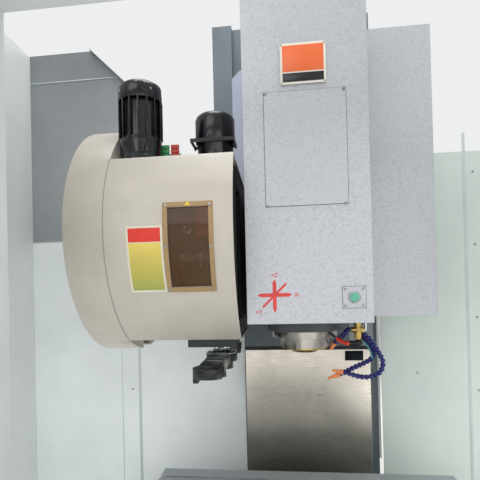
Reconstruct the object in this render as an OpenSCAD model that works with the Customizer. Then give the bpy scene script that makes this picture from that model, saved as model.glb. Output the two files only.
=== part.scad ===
// Vertical machining centre with an arm-type tool changer, its sliding doors open.
// The origin is the middle of the footprint on the floor, +X to the operator's right, -Y to the front.

/* [Head] */
// Height of the head cover's lower edge above the floor
cover_z = 1550; // [1450:10:1600]
// Width of the head cover
cover_w = 380; // [360:5:400]
// Height of the head cover
cover_h = 1080; // [1000:10:1150]
// Distance from the front frame to the front of the head cover
cover_setback = 450; // [420:5:480]
// Distance from the front of the head cover to the spindle axis
spindle_setback = 260; // [240:5:280]
// Thickness of the head's sheet metal
cover_t = 4; // [3:0.5:6]
// Width of the side cover on the right of the head
side_cover_w = 290; // [200:10:320]
// Distance from the front of the head cover to the front of the side cover
side_setback = 300; // [280:5:340]

/* [Spindle] */
// Diameter of the cartridge flange
flange_d = 230; // [210:2:240]
// Diameter of the polished cartridge nose
nose_d = 174; // [160:2:180]
// Distance from the cover's lower edge to the spindle face
nose_drop = 120; // [112:1:122]
// Diameter of the spindle at its bearings
spindle_d = 90; // [80:2:100]
// Large diameter of the tool taper
taper_d = 44.45; // [44.45, 31.75]

/* [Tool magazine] */
// Radius of the round magazine cover
drum_r = 397; // [390:1:405]
// Height of the magazine axis above the head cover's lower edge
drum_rise = 296; // [292:1:300]
// Left end of the magazine cover
drum_left = 714; // [705:1:720]
// Left side of the flat-topped gear case cover
drum_step = 590; // [586:1:594]
// Right end of the magazine cover
drum_right = 214; // [212:1:230]
// Height of the flat top above the magazine axis
drum_flat_up = 217; // [205:1:225]
// Drop of the flat underside below the magazine axis
drum_flat_down = 350; // [344:1:354]
// Wall of the magazine cover
drum_t = 4; // [3:0.5:5]
// Number of tool pots
pot_count = 24; // [20:1:24]
// Radius of the circle of pots
pot_pitch_r = 330; // [328:1:332]
// Diameter of a pot
pot_d = 68; // [60:1:70]
// Length of a pot from its hinge to its mouth
pot_len = 86; // [80:1:88]

/* [Tool change arm] */
// Distance from the arm's axis to a gripper's centre
arm_r = 305; // [304:1:306]
// Thickness of the arm
arm_t = 28; // [20:1:30]
// Gap between the pot mouths and the arm
arm_gap = 4; // [3:0.5:6]
// Radius of a gripper's opening
grip_r = 29; // [27:0.5:30]
// Diameter of the arm shaft
arm_shaft_d = 60; // [50:1:64]

/* [Table] */
// Length of the table
table_l = 1200; // [1000:20:1300]
// Depth of the table
table_w = 520; // [460:10:520]
// Height of the table top above the floor
table_z = 880; // [860:5:890]
// Thickness of the table slab
table_t = 70; // [60:1:80]
// Width of a T-slot
slot_w = 18; // [14:1:22]
// Number of T-slots
slot_count = 5; // [3:1:5]
// Spacing of the T-slots
slot_pitch = 90; // [80:1:100]
// Travel of the table each way
table_travel = 450; // [300:10:450]

/* [Frame castings] */
// Width of the bed
bed_w = 940; // [880:10:960]
// Height of the bed's top
bed_z = 460; // [440:5:470]
// Height of the levelling feet
foot_h = 90; // [70:5:100]
// Width of the column
column_w = 800; // [780:5:820]
// Front of the column, behind the middle of the footprint
column_y = 300; // [295:1:310]
// Depth of the column
column_d = 600; // [560:10:620]
// Height of the column's top above the floor
column_top = 3050; // [2980:10:3060]
// Width of a guide rail
rail_w = 45; // [35:1:50]
// Height of a guide rail
rail_h = 38; // [34:1:40]

/* [Enclosure] */
// Width of the whole enclosure
case_w = 2800; // [2780:10:2900]
// Front of the door frame, ahead of the middle of the footprint
case_front = 1050; // [1040:5:1060]
// Height of the enclosure
case_h = 2400; // [2360:10:2450]
// Height of the tall sheet behind the magazine
tall_h = 2950; // [2900:10:2980]
// Sheet thickness of the enclosure
sheet_t = 4; // [3:0.5:5]
// Lower edge of the door opening
door_z0 = 1000; // [960:10:1050]
// Height of the beam above the door opening
header_h = 100; // [90:5:140]
// Thickness of a door
door_t = 34; // [28:1:36]

/* [Control and cabinet] */
// Width of the control box
control_w = 420; // [380:5:460]
// Height of the control box
control_h = 560; // [500:5:600]
// Depth of the control box
control_d = 90; // [70:2:95]
// Width of the electrical cabinet
cabinet_w = 1100; // [1000:10:1200]
// Height of the electrical cabinet
cabinet_h = 1500; // [1400:10:1600]
// Depth of the electrical cabinet
cabinet_d = 440; // [400:5:440]

/* [Hidden] */
$fn = 64;
eps = 0.5;
play = 0.3;

column_recess = 40;
front_y = -case_front + cover_setback;
spin_y = front_y + spindle_setback;
cover_back = 90;
side_y = front_y + side_setback;
guard_y = cover_back;
guard_t = 10;
guard_w0 = 282;
guard_h = 1152;
slide_y0 = guard_y + guard_t;
slide_w = 480;
slide_z0 = cover_z + 40;
slide_h = 700;
carriage_y = column_y + column_recess - rail_h - 46;
apron_y = 174;
apron_t = 6;
apron_x0 = -253;
apron_x1 = 355;
apron_z = cover_z - 173;
wiper_h = 18;
way_x0 = -255;
way_x1 = 345;
way_y = 196;
way_t = 2;
way_step = way_t + play;
way_h = 140;
way_upper_z = cover_z - 281;
way_middle_z = cover_z - 333;
way_lower_z = cover_z - 450;
way_fixed_top = cover_z - 430;
way_fixed_z = cover_z - 930;

casting_w = 300;
casting_y0 = spin_y - 140;
casting_z0 = cover_z + 20;
casting_h = 540;
boss_r = 133;
boss_z = cover_z - 40;
cart_r = 75;
cart_top = cover_z + 300;
flange_t = 18;
nose_z = cover_z - nose_drop;
motor_z = casting_z0 + casting_h;

drum_z = cover_z + drum_rise;
flat_z1 = drum_z + drum_flat_up;
flat_z0 = drum_z - drum_flat_down;
hinge_x = -2*arm_r;
hinge_z = drum_z - pot_pitch_r;
disc_t = 12;
disc_x = hinge_x - disc_t/2;
disc_r = pot_pitch_r - pot_d/2 - 11;
finger_w = 12;
finger_r = pot_pitch_r + 15;
pin_r = 5;
gear_x0 = -drum_step + 44;
gear_x1 = -drum_right - 8;
gear_y0 = spin_y - 200;
gear_y1 = spin_y + 270;
gear_z0 = flat_z0 + drum_t;
gear_z1 = flat_z1 - drum_t;
disc_shaft_r = 30;
seal_x = -395;
seal_w = 160;
seal_y0 = spin_y - 180;
seal_l = 360;
seal_t = 26;
arm_z = nose_z - arm_gap - arm_t;
bracket_z0 = cover_z + 130;
bracket_h = 260;

win_x = -342;
win_w = 144;
win_e0 = -28.5;
win_e1 = 9.3;
win_rim_e = 2;
win_t = 3;
pane_t = 2;
rim = 13;

motor1_x = -518;
motor1_y = spin_y - 250;
motor1_r = 70;
motor1_bell = 78;
motor1_fins = 118;
cowl_h = 57;
motor2_x = -292;
motor2_y = spin_y - 140;
motor2_r = 67;
motor2_h = 172;

bed_y0 = -960;
y_rail_x = 290;
rail_z = bed_z + 20;
y_rail_y0 = -890;
y_rail_l = 1140;
saddle_z = rail_z + rail_h + 12;
saddle_t = 110;
table_block_x = 240;
table_block_l = 120;
saddle_l = 2*table_travel + 2*table_block_x + table_block_l + 40;
saddle_w = 440;
x_rail_y = 140;
x_rail_z = saddle_z + saddle_t;
x_rail_h = 32;
x_rail_w = 35;
table_low = x_rail_z + x_rail_h + 12;
z_rail_x = 190;
z_rail_z = 1000;
z_rail_l = 1900;
screw_d = 40;
y_screw_z = bed_z + 40;
x_screw_z = saddle_z + saddle_t + 18;
z_screw_y = column_y + 10;

wall_x = case_w/2;
door_open_w = wall_x;
door_z1 = case_h - header_h;
wall_z = 60;
rear_y = 250;
tray_z = 420;
frame_t = 40;
door_w = door_open_w/2 - 1;
door_y = -case_front - 12 - door_t;
door_zlow = door_z0 - 30;
door_rim = 110;
grip_z0 = door_z0 + 500;
grip_z1 = grip_z0 + 340;
rear_z0 = 630;
gap_x0 = -262;
gap_x1 = 407;
guard_x = -800;
chamfer_x = guard_x - 247;
tank_x0 = -wall_x + 60;
tank_x1 = -bed_w/2 - 70;
tank_y = -case_front + 90;
pump_x = tank_x0 + 190;
pump_y = tank_y + 540;
tank_w = 800;
tank_h = 310;
cab_y = column_y + column_d;
cab_z = 560;
cab_hinge_x = -cabinet_w/2 - 6;
cab_hinge_y = cab_y + cabinet_d + play + 12;
knuckle_r = 5.5;
knuckle_h = 28;
hinge_rows = [120, cabinet_h/2 - 42, cabinet_h - 204];
arm_y = -1325;
pendant_x = wall_x - 350;
control_z = 1180;
btn_x = 133;
btn_z = cover_z + 78;
btn_r = 13;
valve_x = 170;
valve_y = spin_y - 110;

module box(x0, x1, y0, y1, z0, z1) { translate([x0, y0, z0]) cube([x1 - x0, y1 - y0, z1 - z0]); }
module bar_x(x0, x1, y, z, r) { translate([x0, y, z]) rotate([0, 90, 0]) cylinder(r = r, h = x1 - x0); }
module bar_y(y0, y1, x, z, r) { translate([x, y0, z]) rotate([-90, 0, 0]) cylinder(r = r, h = y1 - y0); }
module bar_z(z0, z1, x, y, r) { translate([x, y, z0]) cylinder(r = r, h = z1 - z0); }
module rounded(w, h, r, t) {
  linear_extrude(t) {
    square([w - 2*r, h], center = true);
    square([w, h - 2*r], center = true);
    for (i = [-1, 1], j = [-1, 1]) translate([i*(w/2 - r), j*(h/2 - r)]) circle(r);
  }
}

// Sector of a tube round the X axis, between two elevations measured up from the front
module arc_x(r0, r1, x0, x1, e0, e1) {
  translate([x0, spin_y, drum_z]) rotate([0, 90, 0]) rotate([0, 0, -90 - e1])
    rotate_extrude(angle = e1 - e0) translate([r0, 0]) square([r1 - r0, x1 - x0]);
}
module sheet_yz(x, t, pts) { translate([x, 0, 0]) rotate([90, 0, 90]) linear_extrude(t) polygon(pts); }
module sheet_xz(y, t, pts) { translate([0, y + t, 0]) rotate([90, 0, 0]) linear_extrude(t) polygon(pts); }

module bed() color("#4d555c") difference() {
  union() {
    box(-bed_w/2, bed_w/2, bed_y0, column_y + column_d, foot_h, bed_z);
    for (s = [-1, 1])
      box(s*y_rail_x - 40, s*y_rail_x + 40, y_rail_y0, y_rail_y0 + y_rail_l, bed_z, rail_z);
    for (y = [y_rail_y0 - 14, column_y - 40]) box(-60, 60, y, y + 30, bed_z, y_screw_z + 34);
  }
  for (s = [-1, 1], y = [-760, -400, -40, 320])
    box(s*bed_w/2 - 120, s*bed_w/2 + 120, y - 110, y + 110, foot_h + 60, bed_z - 70);
  bar_y(bed_y0 - 20, column_y, 0, y_screw_z, screw_d/2 + 0.06);
  box(-70, 70, y_rail_y0 + 60, column_y - 60, bed_z - 30, bed_z + 1);
}
module leveling_feet() color("#2b2d30") for (s = [-1, 1], y = [bed_y0 + 100, 0, column_y + column_d - 80]) {
  bar_z(0, 26, s*(bed_w/2 - 70), y, 70);
  bar_z(26, foot_h, s*(bed_w/2 - 70), y, 18);
}
module column() color("#6f7c85") difference() {
  union() {
    difference() {
      box(-column_w/2, column_w/2, column_y, column_y + column_d, bed_z, column_top);
      box(-298, 298, column_y - 1, column_y + column_recess, bed_z + 120, column_top + 1);
    }
    for (z = [z_rail_z, z_rail_z + z_rail_l - 40])
      box(-60, 60, column_y - 16, column_y + column_recess, z, z + 40);
  }
  bar_z(z_rail_z - 1, column_top, 0, z_screw_y, screw_d/2 + 0.06);
  box(-62, 62, column_y - 20, z_screw_y + 62, z_rail_z + z_rail_l, column_top + 1);
  for (s = [-1, 1], z = [760, 1320, 1880, 2440])
    box(s*column_w/2 - 60, s*column_w/2 + 60, column_y + 300, column_y + 520, z, z + 340);
}
module linear_rails() color("#c9ccce") {
  for (s = [-1, 1]) {
    box(s*y_rail_x - rail_w/2, s*y_rail_x + rail_w/2, y_rail_y0, y_rail_y0 + y_rail_l, rail_z,
      rail_z + rail_h);
    box(s*z_rail_x - rail_w/2, s*z_rail_x + rail_w/2, column_y + column_recess - rail_h,
      column_y + column_recess,
      z_rail_z, z_rail_z + z_rail_l);
  }
}
module y_screw() color("#b9bcbe") bar_y(-905, column_y - 2, 0, y_screw_z, screw_d/2);
module z_screw() color("#b9bcbe") bar_z(z_rail_z + 2, z_rail_z + z_rail_l + 5, 0, z_screw_y, screw_d/2);
module x_screw() color("#b9bcbe") bar_x(2 - saddle_l/2, saddle_l/2 + 5, spin_y, x_screw_z, 14);
module servo(l, w) {
  difference() {
    union() {
      translate([-w/2, -w/2, 0]) cube([w, w, 12]);
      translate([0, 0, 12]) rounded(w*0.94, w*0.94, w*0.16, l - 42);
      translate([0, 0, l - 30]) rounded(w*0.8, w*0.8, w*0.1, 30);
    }
    translate([0, 0, -1]) cylinder(r = 21, h = 12);
  }
  translate([w*0.2, -w*0.2, l - 44]) translate([w*0.27, -14, 0]) cube([14, 28, 28]);
}
module axis_motors() color("#23262a") {
  translate([0, y_rail_y0 - 15, y_screw_z]) rotate([90, 0, 0]) servo(96, 78);
  translate([0, z_screw_y, z_rail_z + z_rail_l]) servo(column_top - z_rail_z - z_rail_l, 100);
}
module x_motor() color("#23262a")
  translate([saddle_l/2, spin_y, x_screw_z]) rotate([0, 90, 0]) servo(110, 46);
module chip_tray() color("#dfe3e3") difference() {
  union() {
    box(-wall_x + sheet_t, wall_x - sheet_t, -case_front + frame_t, rear_y - sheet_t, tray_z,
      tray_z + sheet_t);
    for (s = [-1, 1]) box(s*(bed_w/2 + sheet_t/2) - sheet_t/2, s*(bed_w/2 + sheet_t/2) + sheet_t/2,
      bed_y0, rear_y - sheet_t, tray_z, tray_z + 70);
  }
  box(-bed_w/2, bed_w/2, bed_y0, 500, tray_z - 1, tray_z + 100);
}
module side_walls() color("#dfe6e6") {
  y0 = -case_front + frame_t;
  sheet_yz(-wall_x, sheet_t, [[y0, wall_z], [rear_y, wall_z], [rear_y, tall_h], [-60, tall_h],
    [-420, case_h], [y0, case_h]]);
  sheet_yz(wall_x - sheet_t, sheet_t, [[y0, wall_z], [rear_y, wall_z], [rear_y, case_h], [y0, case_h]]);
  for (s = [-1, 1]) {
    x0 = s > 0 ? wall_x - sheet_t - 40 : -wall_x + sheet_t;
    box(x0, x0 + 40, y0, s > 0 ? rear_y - sheet_t : -420, case_h - sheet_t, case_h);
    for (y = [y0 + 30, -200]) box(x0, x0 + 40, y, y + 40, 0, wall_z + 40);
  }
}
module rear_walls() color("#d4dcdb") {
  guard_z = tall_h + chamfer_x - guard_x;
  sheet_xz(rear_y - sheet_t, sheet_t, [[-wall_x + sheet_t, wall_z], [-bed_w/2 - 6, wall_z],
    [-bed_w/2 - 6, rear_z0], [gap_x0, rear_z0], [gap_x0, cover_z + 100], [guard_x, cover_z + 100],
    [guard_x, guard_z], [chamfer_x, tall_h], [-wall_x + sheet_t, tall_h]]);
  sheet_xz(rear_y - sheet_t - 26, 26, [[chamfer_x, tall_h], [guard_x, guard_z],
    [guard_x, guard_z - 6], [chamfer_x, tall_h - 6]]);
  sheet_xz(rear_y - sheet_t, sheet_t, [[bed_w/2 + 6, wall_z], [wall_x - sheet_t, wall_z],
    [wall_x - sheet_t, case_h - 100], [gap_x1, case_h - 100], [gap_x1, rear_z0], [bed_w/2 + 6, rear_z0]]);
}
module front_frame() color("#e3e6e6") difference() {
  box(-wall_x, wall_x, -case_front, -case_front + frame_t, wall_z, case_h);
  box(-door_open_w/2, door_open_w/2, -case_front - 1, -case_front + frame_t + 1, door_z0, door_z1);
  for (s = [-1, 1]) box(s > 0 ? door_open_w/2 + sheet_t : -wall_x + sheet_t,
    s > 0 ? wall_x - sheet_t : -door_open_w/2 - sheet_t,
    -case_front + sheet_t, -case_front + frame_t + 1, wall_z + sheet_t, case_h - sheet_t);
  for (rows = [[wall_z + sheet_t, door_z0 - sheet_t], [door_z1 + sheet_t, case_h - sheet_t]])
    box(-door_open_w/2 - 2*sheet_t, door_open_w/2 + 2*sheet_t, -case_front + sheet_t,
      -case_front + frame_t + 1, rows[0], rows[1]);
  for (i = [0:6]) box(-wall_x + 220 + i*16, -wall_x + 226 + i*16, -case_front - 1, -case_front + 20,
    260, 420);
}
module door_rails() color("#9aa0a4") {
  box(-wall_x, wall_x, door_y - 4, -case_front, door_z1 + 34, door_z1 + 64);
  difference() {
    box(-wall_x, wall_x, door_y - 4, -case_front, door_z0 - 60, door_z0 - 32);
    box(-wall_x - 1, wall_x + 1, door_y + door_t/2 - 5, door_y + door_t/2 + 5,
      door_z0 - 50, door_z0 - 31);
  }
}
module door_panel(s) {
  x0 = s < 0 ? -door_open_w : door_open_w/2 + 1;
  win_x0 = x0 + door_rim;
  win_x1 = x0 + door_w - door_rim;
  difference() {
    box(x0, x0 + door_w, door_y, door_y + door_t, door_zlow, door_z1 + 34 - play);
    box(win_x0, win_x1, door_y - 1, door_y + door_t + 1, door_z0 + 180, door_z1 - 160);
    box(win_x0 - 15, win_x1 + 15, door_y + 12, door_y + 18, door_z0 + 165, door_z1 - 145);
    box(x0 + 4, x0 + door_w - 4, door_y + 4, door_y + door_t + 1, door_zlow + 4, door_z0 + 150);
  }
  box(x0 + 60, x0 + door_w - 60, door_y + door_t/2 - 4, door_y + door_t/2 + 4, door_zlow - 15, door_zlow);
  hx = s < 0 ? x0 + door_w - 50 : x0 + 50;
  for (z = [grip_z0, grip_z1]) bar_y(door_y - 40, door_y, hx, z, 10);
  bar_z(grip_z0 - 30, grip_z1 + 30, hx, door_y - 48, 14);
}
module left_door() color("#e6e9e9") door_panel(-1);
module right_door() color("#e6e9e9") door_panel(1);
module door_glass(s) {
  x0 = (s < 0 ? -door_open_w : door_open_w/2 + 1) + door_rim - 14;
  box(x0, x0 + door_w - 2*door_rim + 28, door_y + 12.4, door_y + 17.6, door_z0 + 166, door_z1 - 146);
}
module left_door_window() color("#8fa3ad", 0.5) door_glass(-1);
module right_door_window() color("#8fa3ad", 0.5) door_glass(1);
module coolant_tank() color("#c4cace") {
  difference() {
    box(tank_x0, tank_x1, tank_y, tank_y + tank_w, 40, 40 + tank_h);
    box(tank_x0 + 4, tank_x1 - 4, tank_y + 4, tank_y + tank_w - 4, 44, 41 + tank_h);
  }
  difference() {
    box(tank_x0 + 4, tank_x1 - 260, tank_y + 4, tank_y + tank_w - 4, 34 + tank_h, 38 + tank_h);
    bar_z(tank_h, 60 + tank_h, pump_x, pump_y, 60);
  }
  bar_z(100, 40 + tank_h, pump_x, pump_y, 55);
  bar_z(38 + tank_h, 50 + tank_h, pump_x, pump_y, 72);
  bar_z(50 + tank_h, 60 + tank_h, pump_x, pump_y, 40);
  for (x = [tank_x0 + 40, tank_x1 - 40], y = [tank_y + 40, tank_y + tank_w - 40]) bar_z(0, 40, x, y, 30);
}
// Knuckles of the cabinet's hinges: the outer two of each on the cabinet, the middle one on its door
module cabinet_knuckles(on_door) {
  for (z = hinge_rows, k = [on_door:2:2]) {
    z0 = cab_z + z + k*knuckle_h + play/2;
    z1 = z0 + knuckle_h - play;
    bar_z(z0, z1, cab_hinge_x, cab_hinge_y, knuckle_r);
    if (on_door == 1) box(cab_hinge_x + 3, eps - cabinet_w/2, cab_hinge_y, cab_hinge_y + 11, z0, z1);
    else {
      box(cab_hinge_x + 3, eps - cabinet_w/2, cab_hinge_y - 52, cab_y + cabinet_d, z0, z1);
      box(cab_hinge_x + 3, -play - cabinet_w/2, cab_y + cabinet_d - 1, cab_hinge_y, z0, z1);
    }
  }
}
module electrical_cabinet() color("#dfe3e3") union() {
  cabinet_knuckles(0);
  cabinet_body();
}
module cabinet_body() difference() {
  box(-cabinet_w/2, cabinet_w/2, cab_y, cab_y + cabinet_d, cab_z, cab_z + cabinet_h);
  box(-cabinet_w/2 + 30, cabinet_w/2 - 30, cab_y + 30, cab_y + cabinet_d + 1, cab_z + 30,
    cab_z + cabinet_h - 30);
}
module cabinet_door() color("#e6e9e9") {
  cabinet_knuckles(1);
  y = cab_y + cabinet_d + play;
  difference() {
    box(-cabinet_w/2, cabinet_w/2, y, y + 24, cab_z, cab_z + cabinet_h);
    box(-cabinet_w/2 + 4, cabinet_w/2 - 4, y - 1, y + 20, cab_z + 4, cab_z + cabinet_h - 4);
    for (i = [0:9]) box(-120, 120, y + 10, y + 30, cab_z + 160 + i*22, cab_z + 168 + i*22);
  }
  box(cabinet_w/2 - 60, cabinet_w/2 - 30, y + 24, y + 44, cab_z + cabinet_h/2 - 70,
    cab_z + cabinet_h/2 + 70);
}
module magazine_bracket() color("#6f7c85") {
  x1 = -column_w/2;
  y1 = column_y + 260;
  difference() {
    box(x1 - 140, x1, gear_y1, y1, bracket_z0, bracket_z0 + bracket_h);
    box(x1 - 141, x1 - 30, gear_y1 + 30, y1 + 1, bracket_z0 + 30, bracket_z0 + bracket_h - 30);
  }
}
module drum_slab(x0, x1, w) {
  box(x0, x1, spin_y - drum_r, spin_y + drum_r, flat_z0 + w, flat_z1 - w);
}
module magazine_cover() color("#c9c3b8") difference() {
  union() {
    bar_x(-drum_left, -drum_step, spin_y, drum_z, drum_r);
    intersection() {
      bar_x(-drum_step - 1, -drum_right, spin_y, drum_z, drum_r);
      drum_slab(-drum_step - 2, -drum_right, 0);
    }
  }
  bar_x(-drum_left + drum_t, -drum_step - drum_t, spin_y, drum_z, drum_r - drum_t);
  bar_x(-drum_left - 1, -drum_left + drum_t + 1, spin_y, drum_z, drum_r - 20);
  intersection() {
    bar_x(-drum_step - drum_t - 1, -drum_right + 1, spin_y, drum_z, drum_r - drum_t);
    drum_slab(-drum_step - drum_t - 2, -drum_right + 1, drum_t);
  }
  box(hinge_x - pot_len - 12, hinge_x + pot_d/2 + 8, spin_y - pot_d/2 - 10, spin_y + pot_d/2 + 10,
    drum_z - drum_r - 5, drum_z - pot_pitch_r + pot_d/2);
  box(seal_x, seal_x + seal_w, seal_y0, seal_y0 + seal_l, flat_z0 - 1, flat_z0 + drum_t + 1);
  box(-column_w/2 - 145, -column_w/2 + 5, spin_y + 100, spin_y + drum_r + 1, bracket_z0 - 5,
    bracket_z0 + bracket_h + 5);
  arc_x(drum_r - 20, drum_r + 10, win_x - win_w/2 + rim, win_x + win_w/2 - rim, win_e0 + win_rim_e,
    win_e1 - win_rim_e);
}
module window_frame() color("#a8895e") difference() {
  arc_x(drum_r + 0.2, drum_r + 0.2 + win_t, win_x - win_w/2, win_x + win_w/2, win_e0, win_e1);
  arc_x(drum_r - 5, drum_r + 10, win_x - win_w/2 + rim, win_x + win_w/2 - rim, win_e0 + win_rim_e,
    win_e1 - win_rim_e);
}
module window_pane() color("#6b4a1f", 0.6)
  arc_x(drum_r - drum_t - 0.2 - pane_t, drum_r - drum_t - 0.2, win_x - win_w/2 + 4, win_x + win_w/2 - 4,
    win_e0 + 0.6, win_e1 - 0.6);
module magazine_motor() color("#0b0d14") translate([motor1_x, motor1_y, flat_z1]) {
  rotate_extrude() polygon([[0, 0], [motor1_r, 0], [motor1_r, 10], [motor1_r - 5, 22],
    [motor1_r - 3, motor1_bell - 10], [motor1_r - 4, motor1_bell], [motor1_r - 9, motor1_bell],
    [motor1_r - 9, motor1_bell + motor1_fins], [0, motor1_bell + motor1_fins]]);
  intersection() {
    translate([0, 0, motor1_bell - 1]) cylinder(r = motor1_r + 0.6, h = motor1_fins + 1);
    for (i = [0:15]) rotate([0, 0, i*22.5 + 11.25])
      translate([0, -2.5, motor1_bell - 1]) cube([motor1_r + 4, 5, motor1_fins + 1]);
  }
  translate([0, 0, motor1_bell + motor1_fins - 1]) cylinder(r = 9, h = 42);
  translate([-28, motor1_r - 14, motor1_bell + 10]) cube([56, 30, 76]);
}
module fan_cowl() color("#0b0d14")
  translate([motor1_x, motor1_y, flat_z1 + motor1_bell + motor1_fins]) difference() {
  rotate_extrude() polygon([[0, cowl_h], [motor1_r - 14, cowl_h], [motor1_r - 3, cowl_h - 8],
    [motor1_r, cowl_h - 20], [motor1_r, 0], [motor1_r - 3, 0], [motor1_r - 3, cowl_h - 20],
    [motor1_r - 8, cowl_h - 8], [motor1_r - 15, cowl_h - 3], [0, cowl_h - 3]]);
  for (k = [1:3], i = [0:5]) rotate([0, 0, i*60 + k*30])
    translate([12 + k*11, 0, cowl_h - 10]) cylinder(r = 4.5, h = 12);
}
module motor_fan() color("#2a2d33") translate([motor1_x, motor1_y,
  flat_z1 + motor1_bell + motor1_fins + 9]) {
  difference() {
    union() {
      cylinder(r = 17, h = 24);
      for (i = [0:5]) rotate([0, 0, i*60]) translate([15, -1.5, 2]) cube([44, 3, 20]);
    }
    translate([0, 0, -1]) cylinder(r = 9.06, h = 30);
  }
}
module arm_gearbox() color("#3a3f42") difference() {
  union() {
    intersection() {
      box(gear_x0, gear_x1, gear_y0, gear_y1, gear_z0, gear_z1);
      bar_x(gear_x0 - 1, gear_x1 + 1, spin_y, drum_z, drum_r - drum_t - play);
    }
    box(seal_x + play, seal_x + seal_w - play, seal_y0 + play, seal_y0 + seal_l - play,
      flat_z0 - seal_t, gear_z0);
  }
  bar_x(gear_x0 - 1, gear_x0 + 80, spin_y, drum_z, disc_shaft_r + 0.06);
  bar_z(flat_z0 - seal_t - 1, gear_z0 + 420, -arm_r, spin_y, arm_shaft_d/2 + 0.06);
  for (y = [gear_y0 + 90, gear_y1 - 90]) box(gear_x1 - 12, gear_x1 + 1, y - 60, y + 60, gear_z0 + 60,
    gear_z1 - 60);
}
module arm_motor() color("#07080c") translate([motor2_x, motor2_y, flat_z1]) {
  r = motor2_r;
  rotate_extrude() polygon([[0, 0], [r - 2, 0], [r - 2, 10], [r - 7, 14], [r - 7, 86], [r - 4, 90],
    [r, 92], [r, motor2_h - 4], [r - 4, motor2_h + 6], [r - 12, motor2_h + 13],
    [r - 26, motor2_h + 18], [0, motor2_h + 20]]);
  for (s = [-1, 1]) bar_x(s > 0 ? r - 8 : -r - 6, s > 0 ? r + 6 : -r + 8, 0, 82, 5);
}
module brake_lever() color("#15171b") translate([motor2_x, motor2_y, flat_z1 + 82]) {
  for (s = [-1, 1]) difference() {
    union() {
      translate([s*(motor2_r + 3) - 2, -motor2_r - 10, -6]) cube([4, motor2_r + 10, 12]);
      bar_x(s*(motor2_r + 3) - 2, s*(motor2_r + 3) + 2, 0, 0, 9);
    }
    bar_x(s*(motor2_r + 3) - 3, s*(motor2_r + 3) + 3, 0, 0, 5.06);
  }
  translate([-motor2_r - 5, -motor2_r - 14, -6]) cube([2*motor2_r + 10, 4, 12]);
}
module on_disc(a) { translate([0, spin_y, drum_z]) rotate([a, 0, 0]) translate([0, -spin_y,
  -drum_z]) children(); }
module magazine_disc() color("#8d9194") difference() {
  union() {
    bar_x(disc_x, disc_x + disc_t, spin_y, drum_z, disc_r);
    bar_x(disc_x, gear_x0 - 2, spin_y, drum_z, 62);
    bar_x(disc_x, gear_x0 + 70, spin_y, drum_z, disc_shaft_r);
    for (i = [0:pot_count - 1]) on_disc((i + 0.5)*360/pot_count)
      box(disc_x, disc_x + disc_t, spin_y - finger_w/2, spin_y + finger_w/2, drum_z - finger_r,
        drum_z - disc_r + 12);
  }
  bar_y(spin_y - 70, spin_y + 70, hinge_x, hinge_z, pin_r + 0.06);
  for (i = [0:5]) on_disc(i*60 + 30) bar_x(disc_x - 1, disc_x + disc_t + 1, spin_y, drum_z - 175, 48);
}
module pot(pin) {
  difference() {
    union() {
      bar_x(hinge_x - pot_len, hinge_x + 6, spin_y, hinge_z, pot_d/2);
      bar_y(spin_y - 35.4, spin_y + 35.4, hinge_x, hinge_z, 8);
      if (pin > 0) bar_y(spin_y - 44, spin_y + 44, hinge_x, hinge_z, pin);
    }
    translate([hinge_x - pot_len - 0.1, spin_y, hinge_z]) rotate([0, 90, 0])
      cylinder(r1 = taper_d/2 + 0.6, r2 = 13, h = 66);
    difference() {
      bar_x(hinge_x - pot_len + 30, hinge_x - pot_len + 38, spin_y, hinge_z, pot_d/2 + 1);
      bar_x(hinge_x - pot_len + 29, hinge_x - pot_len + 39, spin_y, hinge_z, pot_d/2 - 4);
    }
  }
}
module tool_pots() color("#d8dad8") for (i = [1:pot_count - 1]) on_disc(i*360/pot_count) pot(0);
module station_pot() color("#d8dad8") pot(pin_r);
module arm_shaft() color("#b9bcbe") {
  bar_z(arm_z + arm_t + 0.2, gear_z0 + 260, -arm_r, spin_y, arm_shaft_d/2);
  bar_z(arm_z + 2, arm_z + arm_t + 1, -arm_r, spin_y, 15);
}
module gripper() {
  difference() {
    union() {
      circle(r = grip_r + 21);
      translate([-38, -arm_r + 50]) square([76, arm_r - 90]);
    }
    circle(r = grip_r);
    translate([-grip_r - 40, -grip_r*0.86]) square([grip_r + 40, grip_r*1.72]);
  }
}
module swing_arm() color("#17191c") translate([-arm_r, spin_y, arm_z]) difference() {
  union() {
    linear_extrude(arm_t) {
      circle(r = 58);
      for (a = [0, 180]) rotate(a) translate([0, arm_r]) gripper();
    }
    for (a = [0, 180]) rotate(a) {
      translate([grip_r + 2, arm_r - 34, -16]) cube([16, 52, 16]);
      translate([-20, 92, -12]) cube([40, 110, 12]);
    }
    translate([0, 0, -28]) cylinder(r = 42, h = 29);
    translate([-26, -48, -20]) cube([52, 96, 20]);
    translate([0, 0, -62]) cylinder(r = 15, h = 40, $fn = 6);
  }
  translate([0, 0, 1]) cylinder(r = 15.06, h = arm_t);
}
module way_plate(k, z, h) box(way_x0, way_x1, way_y + k*way_step, way_y + k*way_step + way_t, z, z + h);
module way_cover_upper() color("#cfc9bf") way_plate(0, way_upper_z, way_h);
module way_cover_middle() color("#cfc9bf") way_plate(1, way_middle_z, way_h);
module way_cover_lower() color("#cfc9bf") way_plate(2, way_lower_z, way_h);
module way_cover_fixed() color("#cfc9bf") {
  way_plate(3, way_fixed_z, way_fixed_top - way_fixed_z);
  y = way_y + 3*way_step + way_t;
  box(way_x0, way_x0 + 4, y, column_y + column_recess, way_fixed_z, way_fixed_top);
  box(way_x1 - 4, way_x1, y, column_y, way_fixed_z, way_fixed_top);
}
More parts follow.
